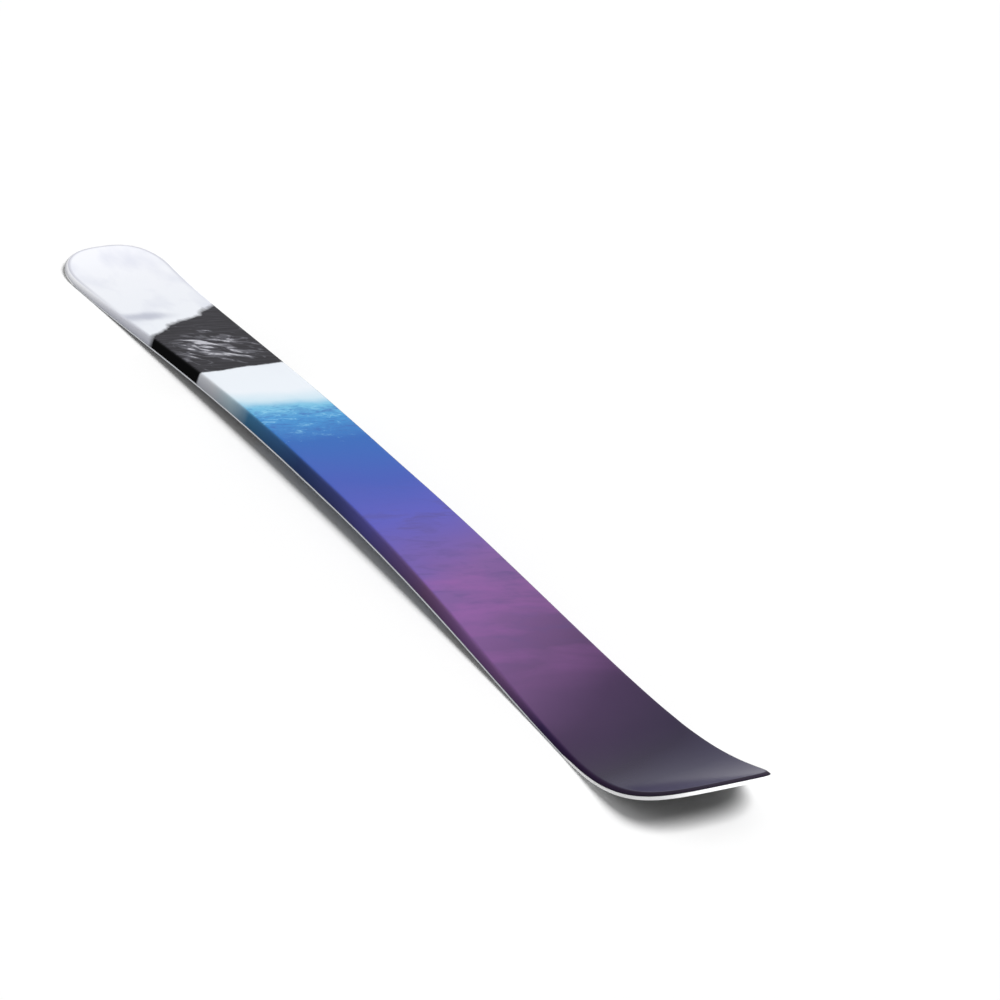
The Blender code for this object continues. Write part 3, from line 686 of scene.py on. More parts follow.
@dataclass(frozen=True)
class PrintedFilm(Finish):
    """Polyamide topsheet film, printed from behind under a thin satin lacquer.

    The print fades along the ski from snow white over cyan, blue and violet to plum, with a brushed charcoal
    band in the white. Painted shade darkens the flanks and the tail's shoulder, and a painted sheen lightens
    the upturned tip. The lacquer gives the top a soft sheen that grows where it turns away; on the flanks,
    which are rubbed down after pressing, little of it is left.
    """

    name: str = "printed_polyamide_topsheet"
    # Share of the length from the tail, and the colour there, from snow over cyan and violet to plum; the plum
    # lightens at the tip's end, a painted sheen
    fade: Stops = (
        (0.000, "F1F2F8"),
        (0.345, "EEF4FB"),
        (0.364, "CFE7F4"),
        (0.377, "70BEE2"),
        (0.404, "3C94D3"),
        (0.444, "2264B8"),
        (0.519, "3C56B6"),
        (0.576, "5858BA"),
        (0.664, "7B5798"),
        (0.713, "765089"),
        (0.776, "60406F"),
        (0.839, "3C234C"),
        (0.902, "1D0D34"),
        (0.938, "2B2548"),
        # Painted sheen: a lighter plum where the tip turns up
        (0.981, "58546F"),
    )
    # The same for the flanks: partly their print, partly painted shade that makes them darker than the top
    shaded_flank_fade: Stops = (
        (0.060, "F6F7FB"),
        (0.150, "E3E5EF"),
        (0.316, "CED1D7"),
        (0.350, "ABC2CD"),
        (0.375, "3D749A"),
        (0.412, "35628F"),
        (0.469, "2B4375"),
        (0.531, "3E457F"),
        (0.581, "524E94"),
        (0.669, "6B4D74"),
        (0.738, "755386"),
        (0.788, "6D4D79"),
        (0.844, "36254C"),
        (0.888, "2B183A"),
        (1.000, "342E3B"),
    )
    charcoal: str = "29282D"
    charcoal_light: str = "504F57"
    # Painted shade: the flank beside the charcoal band is drawn near black
    shaded_flank_charcoal: str = "050506"
    smudge: str = "8A8A93"
    stroke: str = "D6D6DE"
    cloud: str = "D3D6E5"
    drift: str = "B2B6C6"
    crest: str = "8CCDEC"
    trough: str = "2C62B2"
    dusk: str = "9C5CA6"
    wisp: str = "54467E"
    # Painted shade: the grey of the line round the tail's shoulder
    rim: str = "BFC0CB"
    # Painted shade: the lowest part of the flank is drawn this much greyer than its top, as if in shade near
    # the floor
    foot: str = "D2D2D6"

    # The lacquer: rubbed by handling in broad, faint patches, with an orange peel whose humps are 2 mm apart
    roughness: Pair = (0.39, 0.53)
    rub: Grain = Grain((0.083, 0.017, 0.033), 4.0)
    peel: Grain = Grain(1 / 420)
    peel_relief: Pair = (0.00003, 0.5)
    # Its weight on the top and on the flanks, and what is left of it on the band
    lacquer: Pair = (0.32, 0.045)
    charcoal_lacquer: float = 0.5
    # The flank's share at which the lacquer is down, and those between which the flank's colours come in
    lacquer_end: float = 0.5
    shoulder_turn: Pair = (0.08, 0.36)
    foot_shade_reach: Pair = (0.5, 1.0)

    # The fade's borders run aslant: x gained for each metre across, at the cyan and at the plum
    border_slants: Pair = (-0.36, 1.2)
    # Where the borders change their slant, and where they lose it, in x
    slant_reach: Pair = (-0.05, 0.40)
    level_reach: Pair = (0.74, 0.50)
    # They wander by a few centimetres, as sprayed colour does
    wander: Grain = Grain((0.14, 0.10, 1.0), 5.0, 0.55)
    wander_width: float = 0.050

    # The charcoal band: x gained for each metre across at its rear and front edges, and where each one runs
    band_slants: Pair = (0.75, -0.07)
    band_rear: Pair = (-0.527, -0.515)
    band_front: Pair = (-0.329, -0.333)
    # The edges are torn by broad noise and frayed by bristles, at the front less so
    torn: Grain = Grain((0.045, 0.028, 1.0), 5.0, 0.55)
    torn_width: float = 0.040
    torn_shift: float = -0.024
    bristle: Grain = Grain((0.050, 0.0035, 1.0), roughness=0.6)
    bristle_width: float = 0.003
    front_share: float = 0.35
    # Bristle marks from side to side, and pale smudges that thin out from the middle of an oval
    hair: Grain = Grain((0.0030, 0.060, 1.0), 6.0, 0.65, 0.8, math.atan(border_slants[0]), (0.48, 0.78))
    spindrift: Grain = Grain((0.036, 0.014, 1.0), 4.0, 0.56, 1.1, 0.55)
    stroke_oval: Oval = Oval((-0.412, -0.008), (0.048, 0.030))
    stroke_fall: float = -0.15
    smudge_levels: Pair = (0.32, 0.46)
    smudge_amount: Pair = (0.0, 0.60)
    stroke_levels: Pair = (0.43, 0.51)
    stroke_amount: Pair = (0.0, 0.80)

    # Ripples in the cyan, on a broad swell; the level that a crest has to reach rises ahead
    ripple: Grain = Grain((0.0055, 0.0125, 1.0), 7.0, 0.64, 1.2, math.atan(border_slants[0]))
    swell: Grain = Grain((0.022, 0.040, 1.0), turn=math.atan(border_slants[0]))
    swell_height: float = 0.60
    ripple_stretch: Stretch = Stretch((-0.212, -0.182), (-0.055, -0.105))
    ripple_reach: Pair = (-0.212, -0.055)
    crest_rise: Pair = (0.79, 0.97)
    crest_levels: Pair = (0.0, 0.14)
    crest_amount: Pair = (0.0, 0.80)
    trough_levels: Pair = (0.80, 0.60)
    trough_amount: Pair = (0.0, 0.75)

    # Lavender clouds in the white, and a low drift of cloud that they tear, behind the band on the near side
    clouds: Grain = Grain((0.16, 0.066, 1.0), 4.0, levels=(0.50, 0.72))
    white_reach: Pair = (-0.28, -0.42)
    cloud_amount: Pair = (0.0, 0.75)
    drift_oval: Oval = Oval((-0.553, -0.034), (0.020, 0.044), math.atan(border_slants[0]))
    drift_tear: float = -0.35
    drift_levels: Pair = (1.1, 0.05)
    # A pink glow in banks, and thin, darker wisps that gather where the glow is weak
    banks: Grain = Grain((0.050, 0.120, 0.25), 5.0, 0.5, 0.4, math.atan(border_slants[0]))
    glow_levels: Pair = (0.45, 0.70)
    glow_amount: Pair = (0.0, 0.60)
    glow_stretch: Stretch = Stretch((0.18, 0.27), (0.52, 0.36))
    wisps: Grain = Grain((0.014, 0.036, 0.25), 6.0, 0.6, 0.6, math.atan(border_slants[0]), (0.48, 0.74), 0.62)
    wisp_levels: Pair = (0.60, 0.42)
    wisp_amount: Pair = (0.2, 1.0)
    wisp_stretch: Stretch = Stretch((0.02, 0.14), (0.48, 0.30))

    # A thin grey line of painted shade round the tail's shoulder: metres inward of the shoulder, flank shares,
    # and x
    line_inward: Pair = (-0.0028, 0.0)
    line_amount: Pair = (0.0, 0.8)
    line_flank: Pair = (0.32, 0.10)
    line_left: Pair = (0.15, 1.0)
    line_reach: Pair = (-0.56, -0.74)

    def band(self, r: Recipe, here: Socket, x: Socket, y: Socket) -> Socket:
        """Mask of the charcoal band, with torn, dry-brushed edges that run aslant.

        Args:
            r: the recipe.
            here: object coordinates.
            x: x in metres.
            y: y in metres.

        Returns:
            1 in the band, 0 outside.
        """
        torn = r.add("Math", {0: self.torn.laid(r, here), 1: self.torn_width, 2: self.torn_shift},
                     operation="MULTIPLY_ADD")
        ragged = r.add("Math", {0: self.bristle.laid(r, here), 1: self.bristle_width, 2: torn},
                       operation="MULTIPLY_ADD")
        rear = r.add("Math", {0: y, 1: self.band_slants[0], 2: x}, operation="MULTIPLY_ADD")
        rear = r.add("Math", {0: rear, 1: ragged}, operation="ADD")
        rear = r.add("MapRange", {"Value": rear, "From": self.band_rear})
        front = r.add("Math", {0: y, 1: self.band_slants[1], 2: x}, operation="MULTIPLY_ADD")
        front = r.add("Math", {0: ragged, 1: self.front_share, 2: front}, operation="MULTIPLY_ADD")
        front = r.add("MapRange", {"Value": front, "From": self.band_front})
        return r.add("Math", {0: rear, 1: front}, operation="MULTIPLY")

    def inked(self, r: Recipe, here: Socket) -> Socket:
        """The band's charcoal: bristle marks from side to side, and in the middle pale smudges of spindrift.

        The smudges are swept forward and inward, are brightest in a few short strokes, and thin out around.

        Args:
            r: the recipe.
            here: object coordinates.

        Returns:
            The colour.
        """
        # The level that the spindrift has to reach rises away from the middle
        away = self.stroke_oval.distance(r, here)
        over = r.add("Math", {0: away, 1: self.stroke_fall, 2: self.spindrift.laid(r, here)},
                     operation="MULTIPLY_ADD")
        smudge = r.add("MapRange", {"Value": over, "From": self.smudge_levels, "To": self.smudge_amount})
        stroke = r.add("MapRange", {"Value": over, "From": self.stroke_levels, "To": self.stroke_amount})
        ink = r.add("Mix", {0: self.hair.laid(r, here), A: self.charcoal, B: self.charcoal_light}, **COLOURS)
        ink = r.add("Mix", {0: smudge, A: ink, B: self.smudge}, **COLOURS)
        return r.add("Mix", {0: stroke, A: ink, B: self.stroke}, **COLOURS)

    def rippled(self, r: Recipe, here: Socket, along: Socket, colour: Socket) -> Socket:
        """Adds ripples to the cyan: short crests 5 to 15 mm long that run with its border and thin out ahead.

        Args:
            r: the recipe.
            here: object coordinates.
            along: x straightened along the fade's borders.
            colour: the fade's colour.

        Returns:
            The rippled colour.
        """
        height = r.add("Math", {0: self.swell.laid(r, here), 1: self.swell_height,
                                2: self.ripple.laid(r, here)}, operation="MULTIPLY_ADD")
        wet = self.ripple_stretch.mask(r, along)
        level = r.add("MapRange", {"Value": along, "From": self.ripple_reach, "To": self.crest_rise})
        over = r.add("Math", {0: height, 1: level}, operation="SUBTRACT")
        crest = r.add("MapRange", {"Value": over, "From": self.crest_levels, "To": self.crest_amount})
        crest = r.add("Math", {0: crest, 1: wet}, operation="MULTIPLY")
        under = r.add("MapRange", {"Value": height, "From": self.trough_levels, "To": self.trough_amount})
        trough = r.add("Math", {0: under, 1: wet}, operation="MULTIPLY")
        colour = r.add("Mix", {0: trough, A: colour, B: self.trough}, **COLOURS)
        return r.add("Mix", {0: crest, A: colour, B: self.crest}, **COLOURS)

    def snowed(self, r: Recipe, here: Socket, x: Socket, colour: Socket) -> Socket:
        """Adds the white's clouds: soft lavender ones all over it, and a low drift behind the charcoal band.

        Args:
            r: the recipe.
            here: object coordinates.
            x: x in metres.
            colour: the colour below.

        Returns:
            The clouded colour.
        """
        cloud = self.clouds.laid(r, here)
        white = r.add("MapRange", {"Value": x, "From": self.white_reach, "To": self.cloud_amount})
        snow = r.add("Math", {0: cloud, 1: white}, operation="MULTIPLY")
        colour = r.add("Mix", {0: snow, A: colour, B: self.cloud}, **COLOURS)
        away = self.drift_oval.distance(r, here)
        away = r.add("Math", {0: cloud, 1: self.drift_tear, 2: away}, operation="MULTIPLY_ADD")
        drift = r.add("MapRange", {"Value": away, "From": self.drift_levels, "To": self.cloud_amount},
                      **SMOOTH)
        return r.add("Mix", {0: drift, A: colour, B: self.drift}, **COLOURS)

    def dusky(self, r: Recipe, here: Socket, x: Socket, colour: Socket) -> Socket:
        """Adds the violet's clouds: banks of a pink glow, and darker wisps between them.

        Args:
            r: the recipe.
            here: object coordinates.
            x: x in metres.
            colour: the colour below.

        Returns:
            The clouded colour.
        """
        banks = self.banks.laid(r, here)
        glow = r.add("MapRange", {"Value": banks, "From": self.glow_levels, "To": self.glow_amount})
        lit = r.add("Math", {0: self.glow_stretch.mask(r, x), 1: glow}, operation="MULTIPLY")
        colour = r.add("Mix", {0: lit, A: colour, B: self.dusk}, **COLOURS)
        between = r.add("MapRange", {"Value": banks, "From": self.wisp_levels, "To": self.wisp_amount})
        wisp = r.add("Math", {0: self.wisps.laid(r, here), 1: between}, operation="MULTIPLY")
        veiled = r.add("Math", {0: self.wisp_stretch.mask(r, x), 1: wisp}, operation="MULTIPLY")
        return r.add("Mix", {0: veiled, A: colour, B: self.wisp}, **COLOURS)

    def shoulder_shaded(self, r: Recipe, x: Socket, flank: Socket, colour: Socket) -> Socket:
        """Adds a thin grey line of painted shade round the white tail's shoulder.

        Args:
            r: the recipe.
            x: x in metres.
            flank: share of the way down the flank, or on the top minus the distance inward.
            colour: the colour below.

        Returns:
            The colour with its line.
        """
        line = r.add("MapRange", {"Value": flank, "From": self.line_inward, "To": self.line_amount})
        tail = r.add("MapRange", {"Value": x, "From": self.line_reach})
        line = r.add("Math", {0: line, 1: tail}, operation="MULTIPLY")
        left = r.add("MapRange", {"Value": flank, "From": self.line_flank, "To": self.line_left})
        line = r.add("Math", {0: line, 1: left}, operation="MULTIPLY")
        return r.add("Mix", {0: line, A: colour, B: self.rim}, **COLOURS)

    def shader(self, r: Recipe, here: Socket) -> Socket:
        """The printed film: the top's print, the flank's print darkened with painted shade under it, and the
        lacquer over both.

        Args:
            r: the recipe.
            here: object coordinates.

        Returns:
            The shader.
        """
        x, y = (r.add("SeparateXYZ", {"Vector": here}, out=axis) for axis in "XY")
        flank = r.add("Attribute", out="Fac", attribute_name="flank")
        ends = (-FORM.length / 2, FORM.length / 2)
        wander = r.add("Math", {0: self.wander.laid(r, here), 1: self.wander_width,
                                2: -self.wander_width / 2}, operation="MULTIPLY_ADD")
        moved = r.add("Math", {0: x, 1: wander}, operation="ADD")
        slant = r.add("MapRange", {"Value": x, "From": self.slant_reach, "To": self.border_slants})
        kept = r.add("MapRange", {"Value": x, "From": self.level_reach})
        slant = r.add("Math", {0: slant, 1: kept}, operation="MULTIPLY")
        along = r.add("Math", {0: y, 1: slant, 2: moved}, operation="MULTIPLY_ADD")
        place = r.add("MapRange", {"Value": along, "From": ends})
        top = r.add("ValToRGB", {"Fac": place}, stops=self.fade)
        top = self.rippled(r, here, along, top)
        top = self.dusky(r, here, x, self.snowed(r, here, x, top))
        band = self.band(r, here, x, y)
        top = self.shoulder_shaded(r, x, flank, top)
        top = r.add("Mix", {0: band, A: top, B: self.inked(r, here)}, **COLOURS)
        # The flank has its own fade, darkened with painted shade, and painted shade makes it greyer towards its
        # foot
        place = r.add("MapRange", {"Value": moved, "From": ends})
        side = r.add("ValToRGB", {"Fac": place}, stops=self.shaded_flank_fade)
        side = r.add("Mix", {0: band, A: side, B: self.shaded_flank_charcoal}, **COLOURS)
        # Painted shade: the flank darkens towards its foot
        foot_shade_share = r.add("MapRange", {"Value": flank, "From": self.foot_shade_reach})
        side = r.add("Mix", {0: foot_shade_share, A: side, B: self.foot}, blend_type="MULTIPLY", **COLOURS)
        round_shoulder = r.add("MapRange", {"Value": flank, "From": self.shoulder_turn})
        colour = r.add("Mix", {0: round_shoulder, A: top, B: side}, **COLOURS)
        rub = self.rub.laid(r, here)
        rough = r.add("MapRange", {"Value": rub, "From": NOISE_REACH, "To": self.roughness})
        coat = r.add("MapRange", {"Value": flank, "From": (0.0, self.lacquer_end), "To": self.lacquer})
        dulled = r.add("MapRange", {"Value": band, "To": (1.0, self.charcoal_lacquer)})
        coat = r.add("Math", {0: coat, 1: dulled}, operation="MULTIPLY")
        height, strength = self.peel_relief
        normal = r.add("Bump", {"Height": self.peel.laid(r, here), "Distance": height, "Strength": strength})
        return r.add("BsdfPrincipled", {"Base Color": colour, "Roughness": rough, "IOR": 1.5,
                                        "Specular IOR Level": 0.0, "Coat Weight": coat,
                                        "Coat Roughness": 0.16, "Normal": normal})


@dataclass(frozen=True)
class SandedAbs(Finish):
    """White ABS spacer, its outer face sanded flush: a fine grain, slightly greyed by steel dust."""

    name: str = "white_abs_sanded"
    body: str = "FAFBFC"
    dust: str = "E2E4E6"
    roughness: Pair = (0.38, 0.53)
    # Dust sits in pores of about 1 mm, and in smears along the sanding marks, 2.5 mm apart
    pores: Grain = Grain(1 / 900, 4.0, 0.7, levels=(0.58, 0.74))
    pore_share: float = 0.6
    smears: Grain = Grain((0.1, 0.1, 0.0025), levels=(0.45, 0.8), amount=0.5)
    marks: Grain = Grain((0.017, 0.017, 0.0007))
    mark_relief: Pair = (0.00002, 0.5)

    def shader(self, r: Recipe, here: Socket) -> Socket:
        """The sanded plastic.

        Args:
            r: the recipe.
            here: object coordinates.

        Returns:
            The shader.
        """
        speck = self.pores.laid(r, here)
        dusty = r.add("Math", {0: speck, 1: self.pore_share, 2: self.smears.laid(r, here)},
                      operation="MULTIPLY_ADD", use_clamp=True)
        colour = r.add("Mix", {0: dusty, A: self.body, B: self.dust}, **COLOURS)
        rough = r.add("MapRange", {"Value": speck, "To": self.roughness})
        height, strength = self.mark_relief
        normal = r.add("Bump", {"Height": self.marks.laid(r, here), "Distance": height, "Strength": strength})
        return r.add("BsdfPrincipled", {"Base Color": colour, "Roughness": rough, "IOR": 1.53,
                                        "Specular IOR Level": 0.4, "Normal": normal})


@dataclass(frozen=True)
class RolledAlloy(Finish):
    """Rolled aluminium plate of the binding mat: faint rolling lines and a cool, even sheen."""

    name: str = "rolled_alloy"
    bright: str = "B9BBBF"
    dull: str = "94979C"
    roughness: Pair = (0.34, 0.50)
    # Rolling lines are a tenth of a millimetre apart, drawn at 0.7 mm so that they show
    lines: Grain = Grain((0.083, 0.0007, 0.01), roughness=0.6)
    line_levels: Pair = (0.35, 0.7)
    line_relief: Pair = (0.00001, 0.5)

    def tinted(self, r: Recipe, here: Socket, colour: Socket) -> Socket:
        """The metal's colour as it is: a coating or rust comes here."""
        return colour

    def shader(self, r: Recipe, here: Socket) -> Socket:
        """The metal, drawn out in fine lines.

        Args:
            r: the recipe.
            here: object coordinates.

        Returns:
            The shader.
        """
        line = self.lines.laid(r, here)
        share = r.add("MapRange", {"Value": line, "From": self.line_levels})
        colour = r.add("Mix", {0: share, A: self.dull, B: self.bright}, **COLOURS)
        rough = r.add("MapRange", {"Value": line, "From": NOISE_REACH, "To": self.roughness})
        height, strength = self.line_relief
        normal = r.add("Bump", {"Height": line, "Distance": height, "Strength": strength})
        return r.add("BsdfPrincipled", {"Base Color": self.tinted(r, here, colour), "Metallic": 1.0,
                                        "Roughness": rough, "Normal": normal})


@dataclass(frozen=True)
class GroundSteel(RolledAlloy):
    """Hardened steel edge, ground lengthwise: fine streaks that catch the light, and a trace of rust."""

    name: str = "ground_steel"
    bright: str = "C9CBCF"
    dull: str = "9A9DA3"
    rust: str = "8C8274"
    roughness: Pair = (0.22, 0.40)
    # Grinding marks are about 0.1 mm apart, drawn at 0.4 mm so that they show
    lines: Grain = Grain((0.033, 0.0004, 0.0004), roughness=0.6)
    line_relief: Pair = (0.00001, 0.6)
    bloom: Grain = Grain((0.07, 0.025, 0.025), levels=(0.55, 0.8), amount=0.25)

    def tinted(self, r: Recipe, here: Socket, colour: Socket) -> Socket:
        """The steel's colour with a bloom of rust in it."""
        return r.add("Mix", {0: self.bloom.laid(r, here), A: colour, B: self.rust}, **COLOURS)


@dataclass(frozen=True)
class SinteredBase(Finish):
    """Black sintered polyethylene, stone ground and waxed.

    Lengthwise grinding lines break the sheen into a silky band, and the wax leaves cloudy patches in it.
    """

    name: str = "sintered_polyethylene"
    body: str = "161618"
    line: str = "1E1F22"
    roughness: Pair = (0.19, 0.30)
    line_roughness: float = 0.08
    # A touring structure has lines about 0.5 mm apart, drawn at 1 mm so that they show
    lines: Grain = Grain((0.2, 0.001, 1.0), roughness=0.55)
    line_levels: Pair = (0.35, 0.7)
    line_relief: Pair = (0.00002, 0.5)
    wax: Grain = Grain((0.1, 0.042, 1.0), 4.0)

    def shader(self, r: Recipe, here: Socket) -> Socket:
        """The running surface.

        Args:
            r: the recipe.
            here: object coordinates.

        Returns:
            The shader.
        """
        line = self.lines.laid(r, here)
        share = r.add("MapRange", {"Value": line, "From": self.line_levels})
        colour = r.add("Mix", {0: share, A: self.body, B: self.line}, **COLOURS)
        wax = r.add("MapRange", {"Value": self.wax.laid(r, here), "From": NOISE_REACH, "To": self.roughness})
        rough = r.add("Math", {0: share, 1: self.line_roughness, 2: wax}, operation="MULTIPLY_ADD")
        height, strength = self.line_relief
        normal = r.add("Bump", {"Height": line, "Distance": height, "Strength": strength})
        return r.add("BsdfPrincipled", {"Base Color": colour, "Roughness": rough, "IOR": 1.51,
                                        "Specular IOR Level": 0.08, "Normal": normal})


@dataclass(frozen=True)
class MohairPile(Finish):
    """Blue-grey mohair and nylon pile, woven and brushed towards the tail: soft, mottled, without gloss."""

    name: str = "mohair_pile"
    deep: str = "3A4656"
    body: str = "5A6A80"
    light: str = "8593A8"
    bloom: str = "AEBBD0"
    # Tufts are 4 mm long and 1 mm wide, and lie along the ski
    tufts: Grain = Grain((0.0043, 0.0011, 0.017), 5.0, 0.65)
    tuft_relief: Pair = (0.0004, 0.6)
    stroked: Grain = Grain((0.055, 0.033, 1.0), 4.0)
    # How much tufts, strokes and each fibre's own shade count in the colour, and the sum's levels
    weights: Triple = (0.6, 0.25, 0.30)
    levels: Pair = (0.32, 0.78)

    def shader(self, r: Recipe, here: Socket) -> Socket:
        """The pile.

        Args:
            r: the recipe.
            here: object coordinates.

        Returns:
            The shader.
        """
        tuft = self.tufts.laid(r, here)
        shade = r.add("Attribute", out="Fac", attribute_name="shade")
        value = r.add("Math", {0: tuft, 1: self.weights[0]}, operation="MULTIPLY")
        for part, weight in zip((self.stroked.laid(r, here), shade), self.weights[1:]):
            value = r.add("Math", {0: part, 1: weight, 2: value}, operation="MULTIPLY_ADD")
        value = r.add("MapRange", {"Value": value, "From": self.levels})
        shades = ((0.0, self.deep), (0.5, self.body), (1.0, self.light))
        colour = r.add("ValToRGB", {"Fac": value}, stops=shades)
        height, strength = self.tuft_relief
        normal = r.add("Bump", {"Height": tuft, "Distance": height, "Strength": strength})
        return r.add("BsdfPrincipled", {"Base Color": colour, "Roughness": 0.92, "Specular IOR Level": 0.15,
                                        "Sheen Weight": 0.35, "Sheen Roughness": 0.4,
                                        "Sheen Tint": self.bloom, "Normal": normal})


@dataclass(frozen=True)
class WovenCarrier(Finish):
    """Pale woven polyester carrier of the skin, sealed with film: a thin bright line at its cut ends."""

    name: str = "woven_carrier"
    thread: str = "C9CED6"
    shadow: str = "8E949E"
    # Threads are 0.4 mm apart, drawn at 1.2 mm so that they show
    weave: Weave = Weave(0.0012)
    weave_levels: Pair = (-0.6, 0.6)
    weave_relief: Pair = (0.00008, 0.8)
    # The film lies over the threads in patches of a few millimetres
    film: Grain = Grain(1 / 300, levels=(0.4, 0.7), amount=0.4)

    def shader(self, r: Recipe, here: Socket) -> Socket:
        """The woven cloth.

        Args:
            r: the recipe.
            here: object coordinates.

        Returns:
            The shader.
        """
        weave = self.weave.laid(r, here)
        share = r.add("MapRange", {"Value": weave, "From": self.weave_levels})
        colour = r.add("Mix", {0: share, A: self.shadow, B: self.thread}, **COLOURS)
        colour = r.add("Mix", {0: self.film.laid(r, here), A: colour, B: self.thread}, **COLOURS)
        height, strength = self.weave_relief
        normal = r.add("Bump", {"Height": weave, "Distance": height, "Strength": strength})
        return r.add("BsdfPrincipled", {"Base Color": colour, "Roughness": 0.7, "Sheen Weight": 0.2,
                                        "Normal": normal})


@dataclass(frozen=True)
class PlanedWood(Finish):
    """A planed strip of core wood: growth rings and fine open pores that run along the ski."""

    early: str
    late: str
    # Distance between growth rings, how much they lean, and how far the grain's warp shifts them, in radians
    ring: float = 0.0025
    lean: float = 0.6
    warp: Grain = Grain((0.5, 0.033, 0.033))
    warp_shift: float = 14.0
    ring_amount: float = 0.6
    roughness: Pair = (0.55, 0.72)
    # Pores are a few hundredths of a millimetre wide, drawn at 0.4 mm so that they show
    pores: Grain = Grain((0.017, 0.0004, 0.0004), roughness=0.7, levels=(0.5, 0.75), amount=0.5)
    pore_relief: Pair = (0.00004, 0.6)

    def shader(self, r: Recipe, here: Socket) -> Socket:
        """The wood.

        Args:
            r: the recipe.
            here: object coordinates.

        Returns:
            The shader.
        """
        y, z = (r.add("SeparateXYZ", {"Vector": here}, out=axis) for axis in "YZ")
        across = r.add("Math", {0: z, 1: self.lean, 2: y}, operation="MULTIPLY_ADD")
        turns = r.add("Math", {0: across, 1: 2 * math.pi / self.ring}, operation="MULTIPLY")
        phase = r.add("Math", {0: self.warp.laid(r, here), 1: self.warp_shift, 2: turns},
                      operation="MULTIPLY_ADD")
        wave = r.add("Math", {0: phase}, operation="SINE")
        rings = r.add("MapRange", {"Value": wave, "From": (-1.0, 1.0), "To": (0.0, self.ring_amount)})
        pores = self.pores.laid(r, here)
        colour = r.add("Mix", {0: rings, A: self.early, B: self.late}, **COLOURS)
        colour = r.add("Mix", {0: pores, A: colour, B: self.late}, **COLOURS)
        rough = r.add("MapRange", {"Value": rings, "From": (0.0, self.ring_amount), "To": self.roughness})
        height, strength = self.pore_relief
        normal = r.add("Bump", {"Height": pores, "Distance": height, "Strength": strength})
        return r.add("BsdfPrincipled", {"Base Color": colour, "Roughness": rough, "IOR": 1.52,
                                        "Specular IOR Level": 0.3, "Normal": normal})


@dataclass(frozen=True)
class FibreLaminate(Finish):
    """Fibre cloth in epoxy: a fine diagonal weave under a wet gloss."""

    fibre: str
    resin: str
    # Rovings are about 1 mm wide, drawn at 2 mm so that they show
    weave: Weave = Weave(0.002, math.pi / 4)
    weave_levels: Pair = (-0.5, 0.5)
    weave_relief: Pair = (0.00005, 0.7)
    # Resin gathers in cloudy patches of about 2 cm
    pools: Grain = Grain(1 / 60, 4.0, levels=(0.35, 0.7), amount=0.4)
    roughness: Pair = (0.3, 0.5)

    def shader(self, r: Recipe, here: Socket) -> Socket:
        """The laminate.

        Args:
            r: the recipe.
            here: object coordinates.

        Returns:
            The shader.
        """
        weave = self.weave.laid(r, here)
        share = r.add("MapRange", {"Value": weave, "From": self.weave_levels})
        colour = r.add("Mix", {0: share, A: self.resin, B: self.fibre}, **COLOURS)
        colour = r.add("Mix", {0: self.pools.laid(r, here), A: colour, B: self.resin}, **COLOURS)
        rough = r.add("MapRange", {"Value": weave, "From": (-1.0, 1.0), "To": self.roughness})
        height, strength = self.weave_relief
        normal = r.add("Bump", {"Height": weave, "Distance": height, "Strength": strength})
        return r.add("BsdfPrincipled", {"Base Color": colour, "Roughness": rough, "IOR": 1.55,
                                        "Coat Weight": 0.3, "Coat Roughness": 0.2, "Normal": normal})


@dataclass(frozen=True)
class RubberFoil(Finish):
    """Calendered black rubber foil: matte, with a bloom of pale dust."""

    name: str = "rubber_foil"
    body: str = "1C1C1E"
    bloom: str = "39393C"
    roughness: Pair = (0.75, 0.92)
    dust: Grain = Grain(1 / 220, 4.0, 0.6, levels=(0.5, 0.8))
    # The calender's grain, 0.7 mm from hump to hump
    grain: Grain = Grain(1 / 1500, 2.0)
    grain_relief: Pair = (0.00004, 0.6)

    def shader(self, r: Recipe, here: Socket) -> Socket:
        """The rubber.

        Args:
            r: the recipe.
            here: object coordinates.

        Returns:
            The shader.
        """
        dust = self.dust.laid(r, here)
        colour = r.add("Mix", {0: dust, A: self.body, B: self.bloom}, **COLOURS)
        rough = r.add("MapRange", {"Value": dust, "To": self.roughness})
        height, strength = self.grain_relief
        normal = r.add("Bump", {"Height": self.grain.laid(r, here), "Distance": height, "Strength": strength})
        return r.add("BsdfPrincipled", {"Base Color": colour, "Roughness": rough, "Specular IOR Level": 0.3,
                                        "Normal": normal})


@dataclass(frozen=True)
class StudioFloor:
    """Pale seamless paper that the camera and reflections see as white, and that keeps the ski's shadow."""

    name: str = "studio_paper"
    colour: str = "FCFCFC"
    lift: float = 0.02

    def build(self) -> bpy.types.Material:
        """Builds the material.

        Returns:
            The floor's finish.
        """
        r = Recipe(bpy.data.materials.new(self.name))
        paper = r.add("BsdfPrincipled", {"Base Color": self.colour, "Roughness": 0.95,
                                         "Specular IOR Level": 0.0})
        glow = r.add("Emission", {"Color": WHITE, "Strength": seen(r, 0.0, self.lift)})
        r.add("OutputMaterial", {"Surface": r.add("AddShader", {0: paper, 1: glow})})
        return r.holder


def seen(r: Recipe, otherwise: float, strength: float) -> Socket:
    """A strength for what the camera, gloss and glass see, and another one for all other light.

    Args:
        r: the recipe.
        otherwise: strength for other light.
        strength: strength for the camera, gloss and glass.

    Returns:
        The strength.
    """
    ways = [r.add("LightPath", out=way) for way in ("Is Camera Ray", "Is Glossy Ray", "Is Transmission Ray")]
    either = r.add("Math", {0: ways[0], 1: ways[1]}, operation="MAXIMUM")
    either = r.add("Math", {0: either, 1: ways[2]}, operation="MAXIMUM")
    return r.add("MapRange", {"Value": either, "To": (otherwise, strength)})


# Sub-assemblies of the ski


